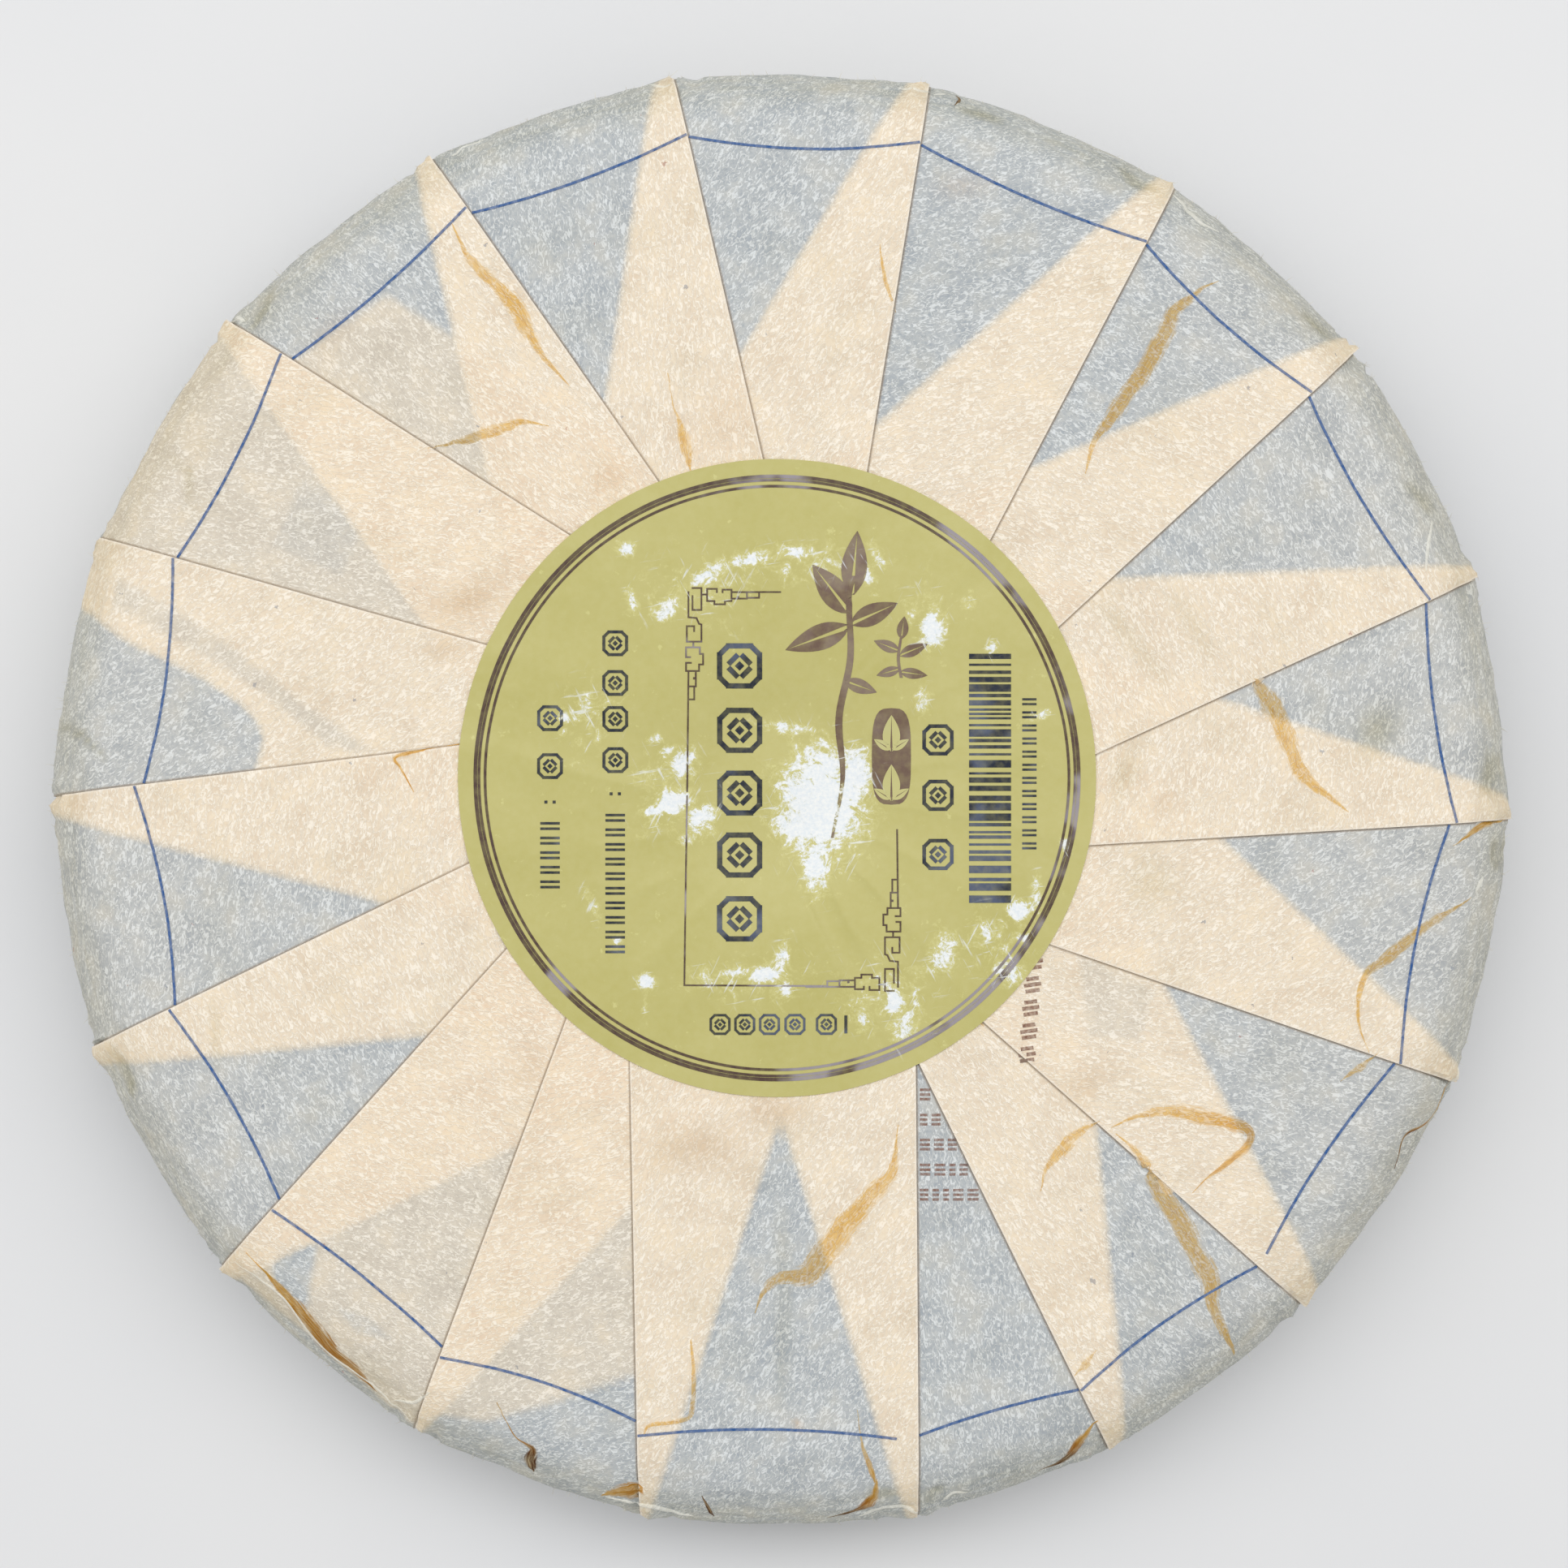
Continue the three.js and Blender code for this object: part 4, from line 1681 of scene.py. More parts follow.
    def stem(self, shapes: Shapes, points: Route, widths: Numbers) -> None:
        """Adds a curved upright stem.

        Args:
            shapes: Where it goes.
            points: Places along it, from its foot up.
            widths: Its widths, evenly spread from its foot to its tip.
        """
        path = along_curve([Vector((x, y, 0.0)) for x, y in points], 0.8)
        width = np.interp(np.linspace(0, 1, len(path)), np.linspace(0, 1, len(widths)), widths)
        left = [(p.x - w / 2, p.y) for p, w in zip(path, width)]
        right = [(p.x + w / 2, p.y) for p, w in zip(path, width)]
        shapes.band(left[::-1], right[::-1], closed=False)

    def sprig(self) -> Shapes:
        """Two tea sprigs, a large and a small one, over an oval seal.

        Returns:
            The shapes.
        """
        shapes = Shapes(self.fine_edge)
        for sprig in self.sprigs:
            self.stem(shapes, sprig.stem, sprig.widths)
            for leaf in sprig.leaves:
                shapes.leaf(*leaf)
        shapes.oval(*self.seal)
        return shapes

    def seal_motif(self) -> Shapes:
        """Two small leaves left bare in the oval seal.

        Returns:
            The shapes.
        """
        shapes = Shapes()
        for foot in self.seal_feet:
            for x, y, *leaf in self.seal_leaves:
                shapes.leaf(x, foot + y, *leaf)
        return shapes

    def marks(self) -> Shapes:
        """Navy marks: a column of lattice tiles, small plain bars in columns, and a block of stripes.

        Returns:
            The shapes.
        """
        shapes = Shapes()
        *headed, plain = self.bar_columns
        for x, heights, half in self.tile_columns:
            for y in heights:
                self.lattice_tile(shapes, x, y, half)
        for (x, high, *pairs), heads in zip(headed, self.column_heads):
            for y in heads:
                self.lattice_tile(shapes, x, y, self.head_half)
            for shift in self.dot_shifts:
                shapes.box(x + shift, high + self.dots_above, self.dot_size, self.dot_size)
            self.bar_pairs(shapes, x, high, *pairs)
        for x in self.foot_row:
            self.lattice_tile(shapes, x, self.foot_bar[1], self.foot_half)
        shapes.box(*self.foot_bar)
        rng = np.random.default_rng(self.seed)
        x, y, foot, width = self.stripe_block
        while y > foot:
            thick, gap = float(rng.choice(self.stripe_heights)), float(rng.choice(self.stripe_gaps))
            shapes.box(x, y - thick / 2, width, thick)
            y -= thick + gap
        self.bar_pairs(shapes, *plain)
        return shapes

    def bar_pairs(
        self, shapes: Shapes, x: float, high: float, low: float, pitch: float, shift: float, width: float,
        height: float,
    ) -> None:
        """Adds a column of pairs of small plain bars.

        Args:
            shapes: Where it goes.
            x: The column's middle.
            high, low: The heights that it spans, from the top down.
            pitch: From one pair to the next.
            shift: How far each bar of a pair lies from their middle.
            width, height: A bar's size.
        """
        for y in np.arange(high, low, -pitch):
            shapes.box(x, float(y) - shift, width, height)
            shapes.box(x, float(y) + shift, width, height)

    def lattice_tile(self, shapes: Shapes, x: float, y: float, half: float) -> None:
        """Adds a square lattice tile: a cut-corner frame, a diamond and four small corner bars.

        Args:
            shapes: Where it goes.
            x, y: Its middle.
            half: Half its side.
        """
        bar = half * 0.24
        for quarter in range(4):
            for turn, reach, length in self.tile_bars:
                angle = 90.0 * quarter + turn
                cos, sin = math.cos(math.radians(angle)), math.sin(math.radians(angle))
                shapes.box(x + half * reach * cos, y + half * reach * sin, bar, half * length, angle)
        shapes.box(x, y, bar * 1.3, bar * 1.3, 45)

    def build(self) -> list[tuple[Piece, Ink]]:
        """Lays the print on the label.

        Returns:
            Each piece with its ink.
        """
        made: list[tuple[Piece, Ink]] = []
        x, y = self.label.centre
        for name, shapes, ink, lift in (
            ("label_rings", self.rings(), Ink.BROWN, self.lift),
            ("label_fret_frame", self.frame(), Ink.BROWN, self.lift),
            ("label_tea_sprig", self.sprig(), Ink.TEA, self.lift),
            ("label_seal_leaves", self.seal_motif(), Ink.GOLD, self.second_lift),
            ("label_navy_marks", self.marks(), Ink.NAVY, self.lift),
        ):
            shapes.points = [(a + x, b + y) for a, b in shapes.points]
            piece, points = shapes.lay(name, self.label.skin, lift, self.sink)
            write_values(piece, {"wear_and_glare": self.label.wear_and_glare(points[:, 0], points[:, 1])})
            made.append((piece, ink))
        return made


@dataclass
class InnerPrint:
    """Plain brown bars in short rows, which stand in for the print on the sheet's other face."""

    wrapper: PleatedWrapper
    rows: int = 5
    left: float = 18.6
    top: float = -39.4
    left_pitch: float = 3.35
    fold_place: Point = (18.1, -35.7)
    fold_slope: float = 0.496
    widths: Point = (0.8, 1.5)
    past_fold: float = 0.3
    gap: float = 0.55
    shifts: Numbers = (-0.62, 0.0, 0.62)
    height: float = 0.34
    right_start: Point = (33.9, -21.6)
    right_pitch: Point = (0.25, 3.1)
    right_bars: Route = ((-0.8, 1.9), (0.0, 2.3), (0.8, 1.7))
    right_height: float = 0.5
    right_turn: float = 8
    lift: float = 0.03
    sink: float = 0.06
    seed: int = 9

    def build(self) -> Piece:
        """Lays the bars on the two pleats that show them.

        Returns:
            The piece.
        """
        shapes = Shapes()
        rng = np.random.default_rng(self.seed)
        for row in range(self.rows):
            y = self.top - self.left_pitch * row
            x = self.left
            limit = self.fold_place[0] + self.fold_slope * (self.fold_place[1] - y)
            while x < limit:
                width = min(float(rng.uniform(*self.widths)), limit - x + self.past_fold)
                for shift in self.shifts:
                    shapes.box(x + width / 2, y + shift, width, self.height)
                x += width + self.gap
        for row in range(self.rows):
            x, y = (start - pitch * row for start, pitch in zip(self.right_start, self.right_pitch))
            for shift, width in self.right_bars:
                shapes.box(x, y + shift, width, self.right_height, self.right_turn)
        piece, points = shapes.lay("inner_print_bars", self.wrapper.skin, self.lift, self.sink)
        write_values(piece, self.wrapper.skin.sample(points))
        return piece


@dataclass
class PaperFuzz:
    """Loose paper hairs along the rim."""

    wrapper: PleatedWrapper
    count: int = 900
    seed: int = 17
    thickness: float = 0.045
    heights: Point = (8.0, 21.0)
    lengths: Point = (0.25, 0.95)
    length_change: Point = (0.6, 1.2)
    outside: float = 102.0
    tilt: float = 0.9
    bend: float = 0.5
    rooting: float = 0.05
    thinning: float = 0.6
    sides: int = 3

    def build(self) -> Piece:
        """Makes all the hairs as one piece of thin tapering tubes.

        Returns:
            The piece.
        """
        rng = np.random.default_rng(self.seed)
        points: list[Vector] = []
        faces: Faces = []
        for _ in range(self.count):
            turn = rng.uniform(0.0, TURN)
            height = rng.uniform(*self.heights)
            reach = Vector((math.sin(turn), math.cos(turn), 0.0))
            root, normal, _ = self.wrapper.skin.nearest(reach * self.outside + Vector((0, 0, height)))
            length = rng.uniform(*self.lengths) * rng.uniform(*self.length_change)
            heading = (normal + Vector(rng.uniform(-self.tilt, self.tilt, 3))).normalized()
            bend = Vector(rng.uniform(-self.bend, self.bend, 3))
            side = heading.orthogonal().normalized()
            other = heading.cross(side)
            first = len(points)
            for share in (0.0, 0.5, 1.0):
                middle = root - normal * self.rooting + (heading * share + bend * share * share) * length
                size = self.thickness * (1.0 - self.thinning * share)
                for corner in range(self.sides):
                    around = TURN * corner / self.sides
                    points.append(middle + (side * math.cos(around) + other * math.sin(around)) * size)
            faces.extend(tube_faces(first, 3, self.sides))
        return mesh_piece("paper_fuzz", np.array([list(place) for place in points]), faces, crease=60.0)


@dataclass
class NodeBoard:
    """Adds and joins shader nodes in one tree."""

    tree: bpy.types.NodeTree

    def add(
        self, kind: str, inputs: dict[str | int, object] | None = None, **settings: object
    ) -> bpy.types.Node:
        """Adds a node.

        Args:
            kind: The node's type.
            inputs: What goes into its sockets: values, or other nodes' outputs.
            settings: The node's own settings.

        Returns:
            The node.
        """
        node = self.tree.nodes.new(kind)
        for name, value in settings.items():
            setattr(node, name, value)
        self.fill(node.inputs, inputs or {})
        return node

    def fill(self, sockets: bpy.types.bpy_prop_collection, values: dict[str | int, object]) -> None:
        """Feeds several sockets by name or number."""
        for name, value in values.items():
            self.feed(sockets[name], value)

    def feed(self, socket: Socket, value: object) -> None:
        """Joins an output to a socket, or sets the socket's value.

        Args:
            socket: The socket.
            value: The output or the value.
        """
        if isinstance(value, Socket):
            self.tree.links.new(value, socket)
        else:
            socket.default_value = value

    def attribute(self, name: str, vector: bool = False) -> Socket:
        """A mesh's named values."""
        node = self.add("ShaderNodeAttribute", attribute_name=name)
        return node.outputs["Vector" if vector else "Fac"]

    def maths(self, operation: str, *values: object) -> Socket:
        """The result of a sum on numbers or outputs."""
        return self.add("ShaderNodeMath", dict(enumerate(values)), operation=operation).outputs[0]

    def times(self, first: object, second: object) -> Socket:
        """The product of two numbers."""
        return self.maths("MULTIPLY", first, second)

    def times_plus(self, first: object, second: object, added: object) -> Socket:
        """The product of two numbers, and a third added to it."""
        return self.maths("MULTIPLY_ADD", first, second, added)

    def step(self, value: object, low: float, high: float) -> Socket:
        """A soft step from 0 at low to 1 at high."""
        inputs = {"Value": value, "From Min": low, "From Max": high}
        return self.add("ShaderNodeMapRange", inputs, interpolation_type="SMOOTHSTEP").outputs["Result"]

    def span(self, value: object, low: float, high: float, start: float, end: float) -> Socket:
        """Maps low to high onto start to end, in a straight line."""
        inputs = {"Value": value, "From Min": low, "From Max": high, "To Min": start, "To Max": end}
        return self.add("ShaderNodeMapRange", inputs).outputs["Result"]

    def rest(self, value: object) -> Socket:
        """One less a number."""
        return self.maths("SUBTRACT", 1.0, value)

    def mix(self, share: object, first: object, second: object, blend: str = "MIX") -> Socket:
        """Two colours mixed."""
        sockets = {0: share, 6: first, 7: second}
        return self.add("ShaderNodeMix", sockets, data_type="RGBA", blend_type=blend).outputs[2]

    def tinted(self, share: object, colour: object, tint: Tone) -> Socket:
        """A colour with a share of a tint laid over it, as a glaze is."""
        return self.mix(share, colour, self.mix(1.0, colour, tint, "MULTIPLY"))

    def noise(
        self, vector: object, scale: float, detail: float = 2.0, roughness: float = 0.5,
        distortion: float = 0.0,
    ) -> Socket:
        """Noise from 0 to 1.

        Args:
            vector: Where on the noise.
            scale: How many of its cells fit in one unit.
            detail: How many finer layers it has.
            roughness: How much the finer layers count.
            distortion: How far it is bent.

        Returns:
            The noise.
        """
        inputs = {"Vector": vector, "Scale": scale, "Detail": detail, "Roughness": roughness}
        return self.add("ShaderNodeTexNoise", {**inputs, "Distortion": distortion}).outputs[0]

    def scaled(self, vector: object, sizes: Triple) -> Socket:
        """A vector with each of its parts multiplied."""
        return self.add("ShaderNodeVectorMath", {0: vector, 1: sizes}, operation="MULTIPLY").outputs[0]

    def turned(self, vector: object, degrees: float) -> Socket:
        """A vector turned about the Z axis."""
        inputs = {"Vector": vector, "Angle": math.radians(degrees)}
        return self.add("ShaderNodeVectorRotate", inputs, rotation_type="Z_AXIS").outputs[0]

    def ramp(self, share: object, stops: list[tuple[float, Tone]]) -> Socket:
        """A colour for each share.

        Args:
            share: Where on the ramp.
            stops: Each stop's place and colour.

        Returns:
            The colour.
        """
        node = self.add("ShaderNodeValToRGB", {"Fac": share})
        bar = node.color_ramp.elements
        while len(bar) < len(stops):
            bar.new(0.5)
        for element, (place, colour) in zip(bar, stops):
            element.position = place
            element.color = colour
        return node.outputs["Color"]


class NodeGroup:
    """A shader node group with named inputs and outputs."""

    def __init__(self, name: str, inputs: dict[str, object], outputs: dict[str, str]) -> None:
        """Makes the group.

        Args:
            name: Its name.
            inputs: Each input's name with its usual value: a number, a colour, or None for a vector.
            outputs: Each output's name with its socket type.
        """
        self.tree = bpy.data.node_groups.new(name, "ShaderNodeTree")
        for label, value in inputs.items():
            kind = "NodeSocketVector" if value is None else "NodeSocketFloat"
            if isinstance(value, tuple):
                kind = "NodeSocketColor"
            socket = self.tree.interface.new_socket(label, in_out="INPUT", socket_type=kind)
            if value is not None:
                socket.default_value = value
        for label, kind in outputs.items():
            self.tree.interface.new_socket(label, in_out="OUTPUT", socket_type=kind)
        self.board = NodeBoard(self.tree)
        self.inlet = self.board.add("NodeGroupInput").outputs
        self.outlet = self.board.add("NodeGroupOutput").inputs

    def use(self, board: NodeBoard, values: dict[str | int, object]) -> bpy.types.Node:
        """Places the group in a material.

        Args:
            board: The material's board.
            values: What goes into the group's inputs.

        Returns:
            The group's node.
        """
        node = board.add("ShaderNodeGroup", node_tree=self.tree)
        board.fill(node.inputs, values)
        return node


def new_material(name: str) -> tuple[Finish, NodeBoard, bpy.types.Node]:
    """A material with an empty Principled BSDF.

    Args:
        name: The material's name.

    Returns:
        The material, its board and its Principled BSDF.
    """
    material = bpy.data.materials.new(name)
    material.use_nodes = True
    board = NodeBoard(material.node_tree)
    material.node_tree.nodes.clear()
    shader = board.add("ShaderNodeBsdfPrincipled")
    board.add("ShaderNodeOutputMaterial", {"Surface": shader.outputs[0]})
    return material, board, shader


class Overlay(Enum):
    """What lies on the wrapper's paper."""

    NONE = "wrapper_paper"
    STRAND = "bark_strand_paper"
    RIDGE = "folded_crease_highlight_paper"
    RING_LINE = "blue_ring_ink"
    INNER_BARS = "brown_inner_ink"


@dataclass(frozen=True)
class WrapperPaper:
    """Thin handmade paper: grey where one layer covers the dark tea, cream where it is folded."""

    grain_turn: float = 59.0
    flow_stretch: Triple = (0.64, 1.42, 1.0)
    wisp_scale: float = 1.3
    wisp_width: float = 0.09
    wisp_mean: float = 0.32
    wisp_share: float = 0.72
    flock_share: float = 0.8
    cloud_share: float = 0.8
    full_density: float = 0.5
    lap_raggedness: float = 0.8
    lap_blur: float = 0.85
    plain: tuple[Tone, ...] = (
        srgb(200, 203, 202), srgb(227, 218, 201), srgb(243, 230, 208), srgb(247, 230, 204),
    )
    wispy: tuple[Tone, ...] = (
        srgb(224, 228, 229), srgb(243, 236, 223), srgb(252, 243, 228), srgb(253, 242, 223),
    )
    hollow: tuple[Tone, ...] = (
        srgb(166, 173, 179), srgb(204, 195, 181), srgb(227, 209, 185), srgb(233, 208, 180),
    )
    peach_tint: Tone = srgb(255, 244, 227)
    # Painted shade on the outward-facing rim, together with the paper's olive-grey tone there.
    rim_shade_tint: Tone = srgb(240, 237, 226)
    # Tint for olive blotches and stains, and for the painted shade in the creases.
    olive_and_crease_shade_tint: Tone = srgb(224, 220, 203)
    stain_tint: Tone = srgb(205, 166, 116)
    # Colour of the painted shadow line just below each folded edge.
    fold_shadow_tint: Tone = srgb(150, 130, 108)
    # Colour of the painted highlight along a pleat's own folded edge.
    edge_highlight_tint: Tone = srgb(250, 240, 225)
    speck_tint: Tone = srgb(120, 128, 145)
    red_speck_tint: Tone = srgb(165, 100, 92)
    # Colour of the painted highlight on the crumpled ridges.
    ridge_highlight_tint: Tone = srgb(240, 238, 226)
    ring_ink: Tone = srgb(52, 93, 152)
    lapped_ring_ink: Tone = srgb(80, 106, 152)
    inner_ink: Tone = srgb(134, 96, 80)
    strand_light: Tone = srgb(243, 216, 164)
    strand_core: Tone = srgb(220, 192, 150)
    strand_single: Tone = srgb(222, 229, 238)
    roughness: float = 0.88
    specular: float = 0.22

    def group(self) -> NodeGroup:
        """The paper's colour, roughness and relief from its layers and its place on the flat sheet.

        Returns:
            The node group.
        """
        made = NodeGroup(
            "Layered paper",
            {"Sheet": None, "Rim Place": None, "First Lap": -FAR, "Second Lap": -FAR, "Tucked": 0.0,
             "Under Edge": FAR, "Own Edge": FAR, "Rim": 0.0, "Stain": 0.0, "Olive": 0.0, "Back": 1.0},
            {"Color": "NodeSocketColor", "Roughness": "NodeSocketFloat", "Height": "NodeSocketFloat"},
        )
        board, inlet = made.board, made.inlet
        turned = board.turned(inlet["Sheet"], self.grain_turn)
        curl = board.noise(board.scaled(turned, self.flow_stretch), self.wisp_scale, 1.0, 0.5, 0.9)
        off_middle = board.maths("ABSOLUTE", board.maths("SUBTRACT", curl, 0.5))
        wisp = board.rest(board.step(off_middle, 0.0, self.wisp_width))
        flock = board.noise(turned, 1.6, 3.0, 0.7)
        clouds = board.noise(turned, 0.16, 3.0, 0.6)
        density = board.times(board.maths("SUBTRACT", flock, 0.5), self.flock_share)
        for pattern, mean, share in (
            (wisp, self.wisp_mean, self.wisp_share), (clouds, 0.5, self.cloud_share),
        ):
            density = board.times_plus(board.maths("SUBTRACT", pattern, mean), share, density)

        ragged = board.maths("SUBTRACT", flock, 0.5)
        lap = board.times_plus(ragged, self.lap_raggedness, inlet["First Lap"])
        first = board.step(lap, -self.lap_blur, self.lap_blur)
        second = board.step(inlet["Second Lap"], -0.9, 0.9)
        layers = board.times_plus(first, 2.0, 0.0)
        layers = board.times_plus(second, 0.8, layers)
        layers = board.times_plus(layers, inlet["Back"], 1.0)
        # Adds the folded-in corners and the extra side layers, which paint the left and right sides lighter.
        layers = board.maths("ADD", layers, inlet["Tucked"])
        share = board.maths("DIVIDE", layers, MOST_LAYERS)
        colour = board.ramp(share, self.stops(self.plain))
        full = self.full_density
        wispy = board.ramp(share, self.stops(self.wispy))
        colour = board.mix(board.step(density, 0.0, full), colour, wispy)
        thin = board.step(board.times(density, -1.0), 0.0, full)
        colour = board.mix(thin, colour, board.ramp(share, self.stops(self.hollow)))

        peach = board.times(board.step(clouds, 0.48, 0.72), 0.35)
        colour = board.tinted(peach, colour, self.peach_tint)
        # Painted shade on the rim: darker and warmer in streaks where the paper faces outward, away from the
        # light, together with its own olive-grey tone.
        rim_place = board.scaled(inlet["Rim Place"], (0.16, 0.9, 1.0))
        streaks = board.noise(rim_place, 1.0, 3.0, 0.6)
        rim_shade_share = board.times(inlet["Rim"], board.span(streaks, 0.3, 0.7, 0.4, 1.0))
        colour = board.tinted(rim_shade_share, colour, self.rim_shade_tint)
        blotches = board.step(board.noise(turned, 0.1, 2.0, 0.55), 0.5, 0.7)
        # The olive tint: random olive blotches and olive stains, with the painted shade in the creases.
        olive = board.times_plus(blotches, 0.15, inlet["Olive"])
        colour = board.tinted(olive, colour, self.olive_and_crease_shade_tint)
        stain = board.times(inlet["Stain"], board.span(flock, 0.3, 0.7, 0.6, 1.3))
        colour = board.mix(stain, colour, self.stain_tint)
        # Painted shadow: a thin brown line on the paper just below a folded edge that laps over it.
        line = board.rest(board.step(inlet["Under Edge"], 0.04, 0.38))
        colour = board.mix(board.times(line, 0.7), colour, self.fold_shadow_tint)
        # Painted highlight: a pale band along the pleat's own folded edge, where it catches the light.
        edge_highlight = board.rest(board.step(inlet["Own Edge"], 0.1, 0.34))
        colour = board.mix(board.times(edge_highlight, 0.5), colour, self.edge_highlight_tint)
        colour = self.specks(board, turned, colour)

        rough = board.span(density, -0.5, 0.5, self.roughness - 0.08, self.roughness + 0.06)
        board.fill(made.outlet, {"Color": colour, "Roughness": rough, "Height": density})
        return made

    def stops(self, tones: tuple[Tone, ...]) -> list[tuple[float, Tone]]:
        """A ramp's stops for one, two, three and five layers."""
        return [(count / MOST_LAYERS, tone) for count, tone in zip((1.0, 2.0, 3.0, MOST_LAYERS), tones)]

    def specks(self, board: NodeBoard, sheet: Socket, colour: Socket) -> Socket:
        """Small scraps of bark in the paper, most of them grey and a few red-brown.

        Args:
            board: The paper's board.
            sheet: The place on the flat sheet.
            colour: The paper's colour without them.

        Returns:
            The colour with them.
        """
        inputs = {"Vector": sheet, "Scale": 2.4, "Detail": 1.0}
        warp = board.add("ShaderNodeTexNoise", inputs).outputs["Color"]
        bent = board.add("ShaderNodeVectorMath", {0: sheet, 1: warp}, operation="ADD").outputs[0]
        cells = board.add("ShaderNodeTexVoronoi", {"Vector": bent, "Scale": 0.12}, voronoi_dimensions="2D")
        pick = board.add("ShaderNodeSeparateColor", {0: cells.outputs["Color"]}).outputs
        reach = board.times_plus(board.maths("POWER", pick[1], 3.0), 0.03, 0.012)
        speck = board.maths("LESS_THAN", cells.outputs["Distance"], reach)
        speck = board.times(speck, board.maths("GREATER_THAN", pick[0], 0.75))
        tint = board.mix(board.maths("GREATER_THAN", pick[2], 0.8), self.speck_tint, self.red_speck_tint)
        return board.mix(board.times(speck, 0.5), colour, tint)

    def material(self, paper: NodeGroup, overlay: Overlay) -> Finish:
        """The paper with what lies on it.

        Args:
            paper: The paper's node group.
            overlay: What lies on it.

        Returns:
            The material.
        """
        material, board, shader = new_material(overlay.value)
        values: dict[str | int, object] = {}
        for key in ("sheet", "rim_place", "first_lap", "second_lap", "tucked", "under_edge", "own_edge",
                    "rim", "stain", "olive", "back"):
            values[key.replace("_", " ").title()] = board.attribute(key, key in ("sheet", "rim_place"))
        node = paper.use(board, values)
        colour, grain = node.outputs["Color"], node.outputs["Height"]
        if overlay is Overlay.STRAND:
            colour = self.strand_colour(board, colour, grain)
        elif overlay is Overlay.RIDGE:
            # Painted highlight: the crumpled ridges are mixed towards near white.
            colour = board.mix(0.6, colour, self.ridge_highlight_tint)
        elif overlay is Overlay.RING_LINE:
            lapped = board.step(values["First Lap"], -0.5, 0.5)
            ink = board.mix(lapped, self.ring_ink, self.lapped_ring_ink)
            share = board.span(board.noise(values["Sheet"], 1.3), 0.3, 0.7, 0.7, 1.0)
            colour = board.mix(share, colour, ink)
        elif overlay is Overlay.INNER_BARS:
            share = board.span(board.noise(values["Sheet"], 2.2), 0.3, 0.7, 0.55, 1.0)
            colour = board.mix(share, colour, self.inner_ink)
        bump = board.add("ShaderNodeBump", {"Strength": 0.6, "Distance": 0.00012, "Height": grain})
        board.fill(shader.inputs, {
            "Base Color": colour, "Roughness": node.outputs["Roughness"], "Normal": bump.outputs[0],
            "Specular IOR Level": self.specular,
        })
        return material

    def strand_colour(self, board: NodeBoard, paper: Socket, grain: Socket) -> Socket:
        """A strand's streaky colour, fading into the paper at its edges.

        Args:
            board: The material's board.
            paper: The paper's colour under the strand.
            grain: How dense the paper is there, about 0 on average.

        Returns:
            The mixed colour.
        """
        across, along, aside, tone = (board.attribute(name) for name in ("across", "along", "aside", "tone"))
        lengthwise = board.add(
            "ShaderNodeCombineXYZ",
            {"X": board.times(along, 0.3), "Y": board.times(aside, 3.6), "Z": tone},
        ).outputs[0]
        streaks = board.noise(lengthwise, 1.0, 4.0, 0.65)
        threads = board.noise(lengthwise, 2.3, 2.0, 0.6)
        body = board.ramp(tone, [
            (0.0, srgb(234, 211, 166)), (0.4, srgb(226, 183, 102)), (0.65, srgb(218, 160, 62)),
            (0.85, srgb(178, 112, 28)), (1.0, srgb(96, 54, 14)),
        ])
        body = board.mix(board.span(streaks, 0.42, 0.68, 0.0, 0.7), body, self.strand_light)
        off_middle = board.maths("ABSOLUTE", across)
        middle = board.span(off_middle, 0.1, 0.8, 0.6, 0.0)
        core = board.times(board.step(threads, 0.46, 0.6), middle)
        body = board.tinted(core, body, self.strand_core)
        single = board.rest(board.step(board.attribute("first_lap"), -0.5, 0.5))
        body = board.tinted(single, body, self.strand_single)
        edge = board.maths("ADD", off_middle, board.times(streaks, 1.1))
        cover = board.rest(board.step(edge, 0.88, 1.36))
        dark = board.step(tone, 0.45, 0.65)
        fade = board.maths("MAXIMUM", board.span(grain, -0.4, 0.4, 0.98, 0.62), dark)
        return board.mix(board.times(cover, fade), paper, body)


